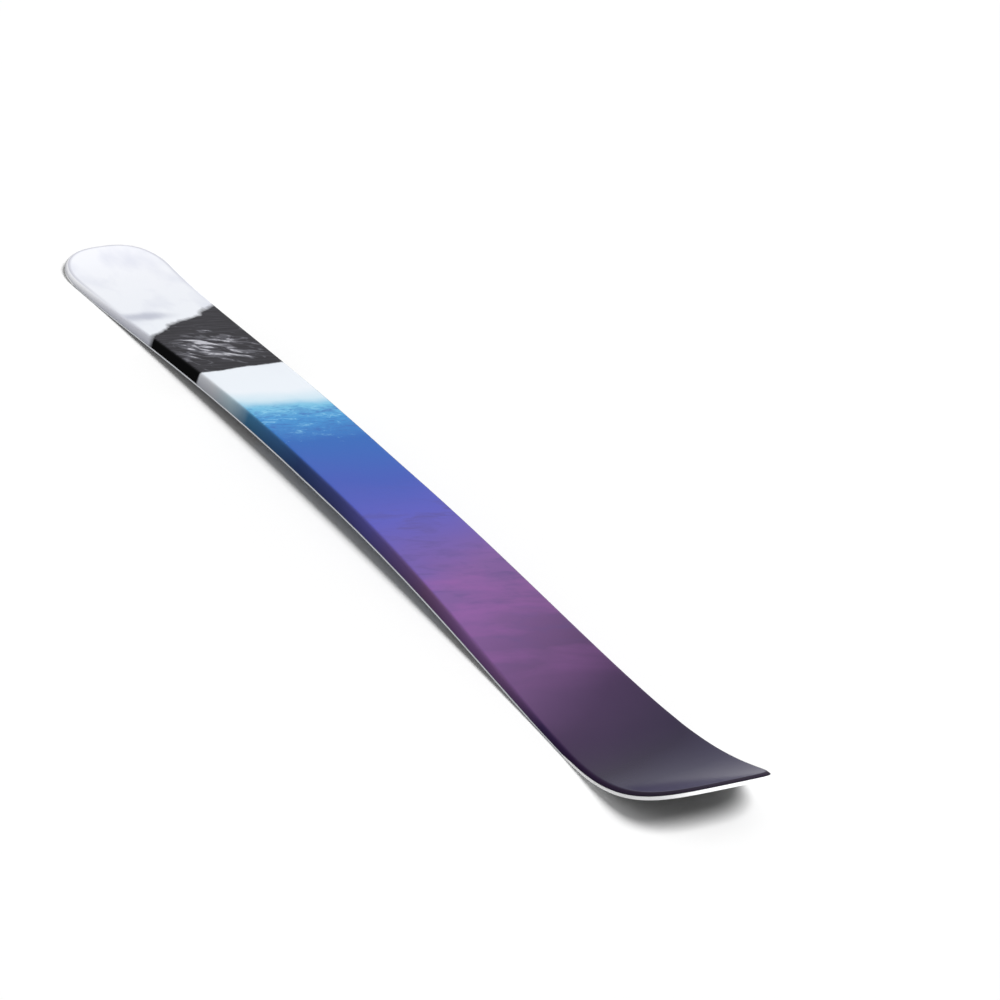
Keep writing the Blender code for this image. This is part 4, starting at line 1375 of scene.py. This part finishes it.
@dataclass
class CapShell:
    """The printed topsheet: over the top, round both shoulders and down the flanks to the edges."""

    spacing: float = 0.0055
    flank_columns: int = 5
    shoulder_columns: int = 9
    top_columns: int = 12
    # Power by which the share of the flank fades round the shoulder
    shoulder_ease: float = 1.5

    def surface(self, runs: Array, depth: float) -> tuple[Array, Array]:
        """One skin of the shell, over the top from the left foot to the right.

        The flank is a straight line that leans in, the shoulder an arc of the radius left at this depth that
        starts in line with the flank and ends level, and the top a straight line across.

        Args:
            runs: distances along the outline.
            depth: how deep the skin lies under the outside.

        Returns:
            Blank points, and how far down each lies: 0.5 under the shoulder and 1 at the foot, and on the top
            minus the distance in metres inward of the shoulder.
        """
        x = OUTLINE.x_at(runs)[:, None]
        foot, lean = FORM.flank(x)
        angle = np.arctan(lean)
        top = FORM.thickness(x) - depth
        radius = max(FORM.shoulder_radius - depth, 0)
        corner = FORM.flank_inset(x, depth, top)
        turn = angle + (math.pi / 2 - angle) * np.linspace(0, 1, self.shoulder_columns)
        arc_inset = corner + radius * np.tan((math.pi / 2 - angle) / 2) - radius * np.cos(turn)
        arc_level = top - radius + radius * np.sin(turn)
        climb = np.linspace(0, 1, self.flank_columns)[:-1]
        flank_level = foot + (arc_level[:, :1] - foot) * climb
        flank_inset = FORM.flank_inset(x, depth, flank_level)
        inset = np.concatenate([flank_inset, arc_inset], axis=1)
        level = np.concatenate([flank_level, arc_level], axis=1)
        px, py = OUTLINE.place(runs[:, None], inset)
        share = np.linspace(1, 0, self.top_columns + 1)[1:-1]
        top_x, top_y = np.repeat(px[:, -1:], len(share), axis=1), py[:, -1:] * share
        px = np.concatenate([px, top_x], axis=1)
        py = np.concatenate([py, top_y], axis=1)
        level = np.concatenate([level, np.repeat(level[:, -1:], len(share), axis=1)], axis=1)
        ease = np.cos(np.linspace(0, math.pi / 2, self.shoulder_columns)) ** self.shoulder_ease
        flanks = np.tile(np.concatenate([1 - climb / 2, ease / 2]), (len(runs), 1))
        inward = np.minimum(arc_inset[:, -1:] - OUTLINE.inward(top_x, top_y), 0)
        flanks = np.concatenate([flanks, inward], axis=1)
        return mirrored_rows(px, py, level), np.concatenate([flanks, flanks[:, ::-1]], axis=1)

    def build(self, material: bpy.types.Material) -> None:
        """Builds the shell and lets it stand for the topsheet."""
        runs = OUTLINE.runs(-FORM.length / 2, FORM.length / 2, self.spacing)
        outside, flank = self.surface(runs, 0)
        lining, lining_flank = self.surface(runs, FORM.topsheet)
        grid = np.concatenate([outside, lining[:, ::-1]], axis=1)
        values = np.concatenate([flank, lining_flank[:, ::-1]], axis=1)
        faces = grid_faces(*grid.shape[:2], caps=False)
        piece = mesh_object("topsheet_fine", grid, faces, values={"flank": values})
        install(piece, material, "topsheet", "topsheet")


@dataclass
class LobedCut:
    """The cut across the base at one end of the skin: a flat-topped lobe that points to the tip."""

    end_x: float
    lobe_length: float = 0.060
    lobe_half_width: float = 0.023
    lobe_power: float = 5.5
    # How far to each side the cut is drawn, and in how many points
    drawn: float = 0.08
    points: int = 1601

    def x_at(self, y: Array, shift: float) -> Array:
        """x of the cut at y, moved ahead square to itself.

        The lobe is its length over one plus (y over its half width) to a power.

        Args:
            y: places across the ski.
            shift: how far the cut is moved ahead.

        Returns:
            x at each place.
        """
        across = np.linspace(-self.drawn, self.drawn, self.points)
        line = self.end_x + self.lobe_length / (1 + np.abs(across / self.lobe_half_width) ** self.lobe_power)
        slope = np.gradient(line, across)
        size = np.hypot(1, slope)
        return np.interp(y, across - shift * slope / size, line + shift / size)


@dataclass
class Sheet:
    """A flat layer of the base, whose rows run from side to side and follow a lobed cut at their ends."""

    bottom: float
    top: float
    round_over: float = 0.00025
    columns: int = 120
    edge_steps: int = 3
    # How much closer columns stand where the lobe's sides are steep
    crowding: float = 0.06
    # Rounds in which a cut settles at the ski's width
    rounds: int = 2

    def shares(self) -> tuple[Array, Array, Array]:
        """Columns of a loop from the bottom left round to the top left.

        Returns:
            Share of the half width, extra inset, and level of each column.
        """
        even = np.linspace(1, -1, self.columns)[1:-1]
        across = even - self.crowding * np.sin(2 * math.pi * even)
        turn = np.linspace(0, math.pi / 2, self.edge_steps)
        rounded = self.round_over * (1 - np.sin(turn))
        rise = self.bottom + self.round_over * (1 - np.cos(turn))
        share = np.concatenate([np.ones(self.edge_steps), across, -np.ones(self.edge_steps)])
        inset = np.concatenate([rounded[::-1], np.zeros(len(across)), rounded])
        level = np.concatenate([rise[::-1], np.full(len(across), self.bottom), rise])
        return (np.concatenate([share, share[::-1]]), np.concatenate([inset, np.zeros(len(share))]),
                np.concatenate([level, np.full(len(share), self.top)]))

    def cut_rows(self, count: int, first: LobedCut, last: LobedCut | float, shift_first: float,
                 shift_last: float) -> Array:
        """Rows beside the steel edges that change evenly from one cut to another, or to a straight line.

        The cuts are followed at the width that the ski has there, which a few rounds settle.

        Args:
            count: number of rows.
            first: the cut of the first row.
            last: the cut, or the x of the straight line, of the last row.
            shift_first: how far the first cut is moved ahead.
            shift_last: how far the last cut is moved ahead.

        Returns:
            Blank points, a loop a row.
        """
        share, extra, level = self.shares()
        way = np.linspace(0, 1, count)[:, None]
        rough = FORM.waist_width / 2 * share
        start = first.x_at(rough, shift_first)
        finish = last.x_at(rough, shift_last) if isinstance(last, LobedCut) else np.full(len(share), last)
        for _ in range(self.rounds):
            x = (1 - way) * start + way * finish
            y = share * (OUTLINE.half_width(x, FORM.beside_edge) - extra)
            start = first.x_at(y[0], shift_first)
            finish = last.x_at(y[-1], shift_last) if isinstance(last, LobedCut) else finish
        return np.stack(np.broadcast_arrays((1 - way) * start + way * finish, y, level), -1)

    def ring_rows(self, runs: Array, inset: Array) -> Array:
        """Straight rows across, at distances along the outline.

        Args:
            runs: the distances.
            inset: inset of the sheet's sides at each.

        Returns:
            Blank points, a loop a row.
        """
        share, extra, level = self.shares()
        x, y = OUTLINE.place(runs[:, None], inset[:, None] + extra)
        return np.stack(np.broadcast_arrays(x, share * y, level), -1)


@dataclass
class Spacer:
    """A white end spacer: rim round the end, tongue beside each steel edge and block under the cap."""

    end: SkiEnd
    core_setback: float
    rim_width: float = 0.0080
    tongue_length: float = 0.018
    tongue_end_width: float = 0.0030
    tongue_root_step: float = 0.0004
    corner: float = 0.0004
    corner_steps: int = 4
    # The inner corner's share of the outer one's radius
    inner_corner: float = 0.5
    spacing: float = 0.0035
    # Rows from the tongue's end on, which draw its round nose
    nose_rows: tuple[float, ...] = (0.0001, 0.0003, 0.0006, 0.001, 0.0015, 0.004)
    # Squared share of the width at which the nose starts
    nose_start: float = 0.01
    # A row this close before the rim's start belongs to the rim
    slack: float = 1e-6

    def past_edge(self, x: Array) -> Array:
        """Distance past the end of the steel edge, towards this end."""
        return self.end.value * (x - FORM.edge_end(self.end))

    def tongue_width(self, past: Array) -> Array:
        """Width of the tongue this far past the edge's end.

        It grows evenly from its end to its root, and its end is half an ellipse.

        Args:
            past: distance past the steel edge's end, negative along the edge.

        Returns:
            The width there.
        """
        root_width = self.rim_width - self.tongue_root_step - FORM.beside_edge
        share = np.clip(1 + past / self.tongue_length, 0, 1)
        width = self.tongue_end_width + (root_width - self.tongue_end_width) * share
        nose = np.clip((past + self.tongue_length) / self.tongue_end_width * 2, 0, 1)
        return width * np.sqrt(np.clip(1 - (1 - nose) ** 2, self.nose_start, 1))

    def base_inset(self, x: Array) -> Array:
        """Inset of the running surface: beside the edge, round the tongue, then inside the rim."""
        past = self.past_edge(x)
        tongue = np.where(past > -self.tongue_length, self.tongue_width(past), 0)
        beside = FORM.beside_edge + np.where(tongue > 0, tongue + FORM.gap, 0)
        return np.where(past > FORM.gap, self.rim_width + FORM.gap, beside)

    def rim(self) -> bpy.types.Object:
        """The rim and both tongues: a rounded profile carried along the outline, from end to end.

        Returns:
            The closed band.
        """
        edge_x = FORM.edge_end(self.end)
        ahead = self.end.value
        nose = tuple(edge_x - ahead * (self.tongue_length - d) for d in self.nose_rows)
        root_rows = (edge_x + ahead * (FORM.gap - FORM.edge_mitre), edge_x + ahead * FORM.gap)
        runs = OUTLINE.runs_out(self.end, edge_x - ahead * self.tongue_length, self.spacing, nose + root_rows)
        x = OUTLINE.x_at(runs)[:, None]
        past = self.past_edge(x)
        root = np.clip((past - FORM.gap) / FORM.edge_mitre + 1, 0, 1)
        outer = FORM.beside_edge * (1 - root)
        beside = FORM.beside_edge + self.tongue_width(past)
        inner = np.where(past > FORM.gap - self.slack, self.rim_width, beside)
        top = FORM.base_thickness + (FORM.rim_height(x) - FORM.base_thickness) * root
        # The corners are round, but never more than a third of the band
        soft = np.minimum(self.corner, (inner - outer) / 3)
        turn = np.linspace(0, math.pi / 2, self.corner_steps)
        aside, climb = soft * (1 - np.sin(turn)), soft * (1 - np.cos(turn))
        inner_aside, inner_climb = (v[:, ::-1] * self.inner_corner for v in (aside, climb))
        inset = np.concatenate([outer + aside, outer, inner, inner - inner_aside], axis=1)
        level = np.concatenate([climb, top, top, inner_climb], axis=1)
        px, py = OUTLINE.place(runs[:, None], inset)
        left = np.stack([px, py, level], -1)
        grid = np.concatenate([left, left[::-1][1:] * [1, -1, 1]], axis=0)
        return mesh_object(f"{self.end.name.lower()}_rim", grid, grid_faces(*grid.shape[:2], caps=True))

    def block(self) -> bpy.types.Object:
        """The block between the core's end and the end of the ski, a plate with leaning sides.

        Returns:
            The closed block.
        """
        start = self.end.value * (FORM.length / 2 - self.core_setback + FORM.gap)
        runs = OUTLINE.runs_out(self.end, start, self.spacing)
        x = OUTLINE.x_at(runs)[:, None]
        floor = FORM.rim_top * np.ones_like(x)
        top = FORM.thickness(x) - FORM.core_depth
        lean = FORM.flank(x)[1]
        low = FORM.flank_inset(x, FORM.core_depth, floor + FORM.gap)
        lining = FORM.shoulder_radius - FORM.core_depth + FORM.gap
        corner = lining * np.tan((math.pi / 2 - np.arctan(lean)) / 2)
        high = FORM.flank_inset(x, FORM.core_depth, top) + corner
        px, py = OUTLINE.place(runs[:, None], np.concatenate([low, high], axis=1))
        grid = mirrored_rows(px, py, np.concatenate([floor, top], axis=1))
        return mesh_object(f"{self.end.name.lower()}_block", grid, grid_faces(*grid.shape[:2], caps=True))

    def build(self, material: bpy.types.Material) -> None:
        """Builds the spacer and lets it stand for its node."""
        word = self.end.name.lower()
        piece = joined(f"{word}_spacer_fine", [self.rim(), self.block()])
        install(piece, material, "spacer", f"{word}_spacer")


@dataclass
class SteelEdge:
    """A steel edge: a square body with softened corners and an anchor flange cut into teeth."""

    side: Side
    flange_reach: float = 0.0078
    flange_root: float = 0.0004
    tooth_length: float = 0.020
    tooth_slot: float = 0.010
    tooth_taper: float = 0.002
    plain_end: float = 0.010
    corner: float = 0.00018
    corner_steps: int = 4
    spacing: float = 0.0055
    # Angle in degrees over which a corner is drawn sharp
    sharp: float = 40.0

    def flange(self) -> tuple[Array, Array]:
        """Corners of the flange's teeth, whose flanks taper.

        Returns:
            x of every corner, and how far in from the outline the flange reaches there.
        """
        first = FORM.edge_end(SkiEnd.TAIL) + self.plain_end
        last = FORM.edge_end(SkiEnd.TIP) - self.plain_end - self.tooth_length
        starts = np.arange(first, last, self.tooth_length + self.tooth_slot)
        corners = [0, self.tooth_taper, self.tooth_length - self.tooth_taper, self.tooth_length]
        root = FORM.edge_width + self.flange_root
        reaches = np.tile([root, self.flange_reach, self.flange_reach, root], len(starts))
        return (starts[:, None] + corners).ravel(), reaches

    def build(self, material: bpy.types.Material) -> None:
        """Builds the edge and lets it stand for its node."""
        corners, reaches = self.flange()
        ends = (FORM.edge_end(SkiEnd.TAIL), FORM.edge_end(SkiEnd.TIP))
        runs = OUTLINE.runs(*ends, self.spacing, tuple(corners))
        turn = np.linspace(0, math.pi / 2, self.corner_steps)
        aside, climb = self.corner * (1 - np.sin(turn)), self.corner * (1 - np.cos(turn))
        under = FORM.base_thickness + FORM.gap
        inset = np.tile([FORM.edge_width, *aside, *climb, 0, 0, FORM.edge_width], (len(runs), 1))
        inset[:, -3:-1] = np.interp(OUTLINE.x_at(runs), corners, reaches)[:, None]
        level = np.array([0, *climb, *(FORM.edge_height - aside), FORM.edge_height, under, under])
        # Both ends are mitred against the spacers' rims
        slant = FORM.edge_mitre / FORM.beside_edge
        shift = np.zeros_like(inset)
        shift[0] = slant * inset[0]
        shift[-1] = -slant * inset[-1]
        px, py = OUTLINE.place(runs[:, None], inset)
        grid = np.stack(np.broadcast_arrays(px + shift, self.side.value * py, level), -1)
        rows, columns = grid.shape[:2]
        faces = grid_faces(rows, columns, caps=False)
        faces += [list(range(columns)), list(range((rows - 1) * columns, rows * columns))]
        word = self.side.name.lower()
        piece = mesh_object(f"steel_edge_{word}_fine", grid, faces, sharp=self.sharp)
        install(piece, material, "steel", f"steel_edge_{word}")


@dataclass
class FibreBrush:
    """The pile's fibres: thin four-faced slivers that lie towards the tail.

    Each has a root with two corners on the pile and a third below them, and a point that stands off the pile
    behind it.
    """

    count: int = 36000
    length: Pair = (0.0025, 0.0050)
    width: Pair = (0.00013, 0.00028)
    thickness: float = 0.00018
    # How far their points stand off, how deep their roots sit, and the spread of their yaw, in radians
    stand: Pair = (0.00015, 0.00050)
    sunk: float = 0.0001
    yaw: float = 0.24
    # Roots keep off the sides by a share and a margin, and off both cuts by setbacks and a share
    across: float = 0.985
    margin: float = 0.0004
    setbacks: Pair = (0.0030, 0.0010)
    along: Pair = (0.010, 0.997)
    # Most fibres are dark: their shade is an even draw to this power
    shade_power: float = 1.4
    seed: int = 11

    def build(self, rear_cut: LobedCut, front_cut: LobedCut, skin_level: float) -> bpy.types.Object:
        """Builds the fibres between two cuts.

        Args:
            rear_cut: the skin's rear cut.
            front_cut: its front cut.
            skin_level: level of the pile's surface.

        Returns:
            The fibres as one object.
        """
        rng = np.random.default_rng(self.seed)
        share = rng.uniform(-self.across, self.across, self.count)
        way = rng.uniform(*self.along, self.count)
        y = share * (FORM.waist_width / 2 - FORM.beside_edge)
        rear = rear_cut.x_at(y, self.setbacks[0])
        front = front_cut.x_at(y, -self.setbacks[1])
        x = rear + way * (front - rear)
        y = share * (OUTLINE.half_width(x, FORM.beside_edge) - self.margin)
        yaw = rng.normal(0, self.yaw, self.count)
        length = rng.uniform(*self.length, self.count)
        width = rng.uniform(*self.width, self.count)
        back = np.stack([-np.cos(yaw), np.sin(yaw), np.zeros(self.count)], -1) * length[:, None]
        aside = np.stack([np.sin(yaw), np.cos(yaw), np.zeros(self.count)], -1) * width[:, None] / 2
        root = np.stack([x, y, np.full(self.count, skin_level + self.sunk)], -1)
        stand = rng.uniform(*self.stand, self.count)[:, None] * [0, 0, 1]
        corners = [root + aside, root - aside, root - [0, 0, self.thickness], root + back - stand]
        points = np.stack(corners, 1).reshape(-1, 3)
        limit = OUTLINE.half_width(points[:, 0], FORM.beside_edge)
        points[:, 1] = np.clip(points[:, 1], -limit, limit)
        sides = np.array([[0, 1, 2], [1, 0, 3], [2, 1, 3], [0, 2, 3]])
        faces = (np.arange(self.count)[:, None, None] * len(corners) + sides).reshape(-1, 3).tolist()
        shade = np.repeat(rng.uniform(0, 1, self.count) ** self.shade_power, len(corners))
        return mesh_object("fibres", points, faces, sharp=180, values={"shade": shade}, merge=0)


@dataclass
class RunningSurface:
    """The black base in two sheets, the skin's carrier and its pile."""

    tip: Spacer
    tail: Spacer
    skin_front: LobedCut = field(default_factory=lambda: LobedCut(0.316))
    skin_rear: LobedCut = field(default_factory=lambda: LobedCut(-0.184))
    backing_thickness: float = 0.0005
    pile_thickness: float = 0.0010
    pile_trim: float = 0.0008
    # Shade of the nap under the fibres
    nap_shade: float = 0.4
    # Past the skin, a base's rows turn from the cut's line to a straight one over this distance
    straight_after: float = 0.030
    front_rows: int = 16
    rear_rows: int = 24
    skin_rows: int = 110
    spacing: float = 0.005
    # Further rows: distances from a tongue's end on, and from the start of the rim on
    nose_rows: tuple[float, ...] = (-0.0001, 0.0001, 0.0004, 0.0008, 0.0015, 0.004)
    rim_rows: Pair = (-0.0001, 0.0001)
    # Points that the width of the skin is averaged over
    width_points: int = 400

    def build_base(self, node: str, spacer: Spacer, cut: LobedCut, count: int,
                   material: bpy.types.Material) -> None:
        """Builds one sheet of the base, from a cut of the skin out to an end of the ski.

        Args:
            node: the node that it stands for.
            spacer: the spacer at that end.
            cut: the skin's cut.
            count: rows over which the cut's line turns straight.
            material: the base's finish.
        """
        ahead = spacer.end.value
        # A lobe points to the tip, so the front base starts past it and the rear base behind it
        passed = cut.end_x + (cut.lobe_length if spacer.end is SkiEnd.TIP else 0)
        meet = passed + ahead * self.straight_after
        edge_x = FORM.edge_end(spacer.end)
        nose = tuple(edge_x - ahead * (spacer.tongue_length - d) for d in self.nose_rows)
        rim = tuple(edge_x + ahead * (FORM.gap + d) for d in self.rim_rows)
        runs = OUTLINE.runs_out(spacer.end, meet, self.spacing, nose + rim)
        sheet = Sheet(0, FORM.base_thickness)
        turning = sheet.cut_rows(count, cut, meet, ahead * FORM.gap / 2, 0)[:-1]
        grid = np.concatenate([turning, sheet.ring_rows(runs, spacer.base_inset(OUTLINE.x_at(runs)))])
        piece = mesh_object(f"{node}_fine", grid, grid_faces(*grid.shape[:2], caps=True))
        install(piece, material, "base", node)

    def build_bases(self, material: bpy.types.Material) -> None:
        """Builds both sheets of the base and lets them stand for their nodes."""
        self.build_base("base_front", self.tip, self.skin_front, self.front_rows, material)
        self.build_base("base_rear", self.tail, self.skin_rear, self.rear_rows, material)

    def skin_sheet(self, name: str, bottom: float, top: float, trim: float) -> bpy.types.Object:
        """One layer of the skin between its two cuts.

        Args:
            name: name of the layer.
            bottom: its lowest level.
            top: its highest level.
            trim: how far its ends stand back from the cuts.

        Returns:
            The closed layer.
        """
        back = FORM.gap / 2 + trim
        rows = Sheet(bottom, top).cut_rows(self.skin_rows, self.skin_rear, self.skin_front, back, -back)
        shade = np.full(rows.shape[:2], self.nap_shade)
        return mesh_object(name, rows, grid_faces(*rows.shape[:2], caps=True), values={"shade": shade})

    def build_skin(self, pile: bpy.types.Material, carrier: bpy.types.Material) -> None:
        """Builds the carrier and the pile with its fibres, and lets them stand for their nodes.

        Args:
            pile: the pile's finish.
            carrier: the carrier's finish.
        """
        backing_bottom = FORM.base_thickness - self.backing_thickness
        pile_top = backing_bottom - FORM.gap
        pile_bottom = pile_top - self.pile_thickness
        backing = self.skin_sheet("skin_backing_fine", backing_bottom, FORM.base_thickness, 0)
        install(backing, carrier, "skin_backing", "skin_backing")
        rear, front = self.skin_rear.end_x, self.skin_front.end_x
        flat_width = 2 * OUTLINE.half_width(rear, FORM.beside_edge).item()
        nap = self.skin_sheet("pile_nap", pile_bottom, pile_top, self.pile_trim)
        fibres = FibreBrush().build(self.skin_rear, self.skin_front, pile_bottom)
        piece = joined("skin_pile_fine", [nap, fibres])
        install(piece, pile, "skin_pile", "skin_pile")


@dataclass
class InnerLayers:
    """The layers inside the ski, which keep their solids and get the finishes of their materials."""

    strips: int = 7

    def dress(self, nodes: dict[str, bpy.types.Object]) -> None:
        """Gives every inner node its finish.

        Args:
            nodes: the CAD nodes by name.
        """
        poplar = PlanedWood("planed_poplar", "E3CFA2", "C9A870").build()
        ash = PlanedWood("planed_ash", "C9A273", "95683C", 0.004).build()
        glass = FibreLaminate("glass_laminate", "C3C8A6", "98A07C").build()
        carbon = FibreLaminate("carbon_glass_laminate", "3C3D3A", "1E1F1D").build()
        rubber = RubberFoil().build()
        finishes = {f"core_stringer_{k + 1}": (ash if k % 2 else poplar) for k in range(self.strips)}
        finishes |= {"base_laminate": glass, "lower_laminate": glass, "upper_laminate": carbon}
        finishes |= {"edge_foil_left": rubber, "edge_foil_right": rubber}
        finishes["binding_mat"] = RolledAlloy().build()
        for name, material in finishes.items():
            mesh = nodes[name].data
            mesh.materials.clear()
            mesh.materials.append(material)
            log.info("%s: %s", name, material.name)


@dataclass
class Ski:
    """The whole ski, built from its sub-assemblies in the order a press would take them."""

    tip: Spacer = field(default_factory=lambda: Spacer(SkiEnd.TIP, core_setback=0.085))
    tail: Spacer = field(default_factory=lambda: Spacer(SkiEnd.TAIL, core_setback=0.075))
    cap: CapShell = field(default_factory=CapShell)

    def build(self, nodes: dict[str, bpy.types.Object]) -> None:
        """Builds every visible piece and dresses the inner ones.

        Args:
            nodes: the CAD nodes by name.
        """
        surface = RunningSurface(self.tip, self.tail)
        surface.build_bases(SinteredBase().build())
        surface.build_skin(MohairPile().build(), WovenCarrier().build())
        steel = GroundSteel().build()
        for side in Side:
            SteelEdge(side).build(steel)
        abs_plastic = SandedAbs().build()
        self.tip.build(abs_plastic)
        self.tail.build(abs_plastic)
        self.cap.build(PrintedFilm().build())
        InnerLayers().dress(nodes)


# The studio


@dataclass(frozen=True)
class PhotoCamera:
    """The photograph's camera, as fitted to the ski in it."""

    azimuth: float = 24.3809
    elevation: float = 22.8343
    roll: float = 0.1680
    distance: float = 3.92637
    target: Triple = (0.058690, 0.125230, 0.0)
    focal_pixels: float = 3940.10
    frame_pixels: float = 1000.0
    sensor: float = 36.0
    sight: float = 100.0

    def build(self) -> None:
        """Places the camera: it looks at the target from its distance, turned about its line of sight."""
        az, el, turn = (math.radians(v) for v in (self.azimuth, self.elevation, self.roll))
        look = Vector((-math.cos(az) * math.cos(el), math.sin(az) * math.cos(el), -math.sin(el)))
        right = look.cross(Vector((0, 0, 1))).normalized()
        up = right.cross(look)
        turned_right = math.cos(turn) * right + math.sin(turn) * up
        turned_up = math.cos(turn) * up - math.sin(turn) * right
        data = bpy.data.cameras.new("photo_camera")
        data.sensor_width = self.sensor
        data.lens = self.focal_pixels * self.sensor / self.frame_pixels
        data.clip_end = self.sight
        camera = bpy.data.objects.new("photo_camera", data)
        place = Vector(self.target) - look * self.distance
        basis = Matrix((turned_right, turned_up, -look)).transposed().to_4x4()
        camera.matrix_world = Matrix.Translation(place) @ basis
        bpy.context.scene.collection.objects.link(camera)
        bpy.context.scene.camera = camera


@dataclass(frozen=True)
class Studio:
    """A pale paper floor, one broad soft lamp from ahead on the far side, and even light all round."""

    floor_size: float = 30.0
    lamp_from: Triple = (0.85, 0.24, 1.00)
    lamp_strength: float = 3.20
    lamp_spread: float = 24.0
    fill: float = 0.25

    def build(self) -> None:
        """Builds the floor, the lamp and the world, and sets the plain view transform."""
        half = self.floor_size / 2
        corners = [(-half, -half, 0), (half, -half, 0), (half, half, 0), (-half, half, 0)]
        mesh = bpy.data.meshes.new("floor")
        mesh.from_pydata(corners, [], [(0, 1, 2, 3)])
        mesh.materials.append(StudioFloor().build())
        floor = bpy.data.objects.new("floor", mesh)
        bpy.context.scene.collection.objects.link(floor)
        floor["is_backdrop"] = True
        lamp = bpy.data.lights.new("soft_key", "SUN")
        lamp.energy = self.lamp_strength
        lamp.angle = math.radians(self.lamp_spread)
        key = bpy.data.objects.new("soft_key", lamp)
        key.matrix_world = Vector(self.lamp_from).to_track_quat("Z", "Y").to_matrix().to_4x4()
        bpy.context.scene.collection.objects.link(key)
        self.world()
        bpy.context.scene.view_settings.view_transform = "Standard"

    def world(self) -> None:
        """Even grey light on the ski, which the camera, gloss and glass see as white."""
        r = Recipe(bpy.data.worlds.new("studio"))
        sky = r.add("Background", {"Color": WHITE, "Strength": seen(r, self.fill, 1.0)})
        r.add("OutputWorld", {"Surface": sky})
        bpy.context.scene.world = r.holder


def box_lists(box: object) -> object:
    """A box or a nest of vectors as plain lists of numbers."""
    if hasattr(box, "__len__") or isinstance(box, Vector):
        return [box_lists(value) for value in box]
    return float(box)


def main() -> None:
    """Loads the frame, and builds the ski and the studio."""
    logging.basicConfig(level=logging.INFO, format="%(name)s: %(message)s")
    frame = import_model()
    cad_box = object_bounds()
    PhotoCamera().build()
    Studio().build()
    Ski().build(frame["nodes"])
    {"cad": box_lists(cad_box), "visual": box_lists(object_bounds())}


if __name__ == "__main__":
    main()
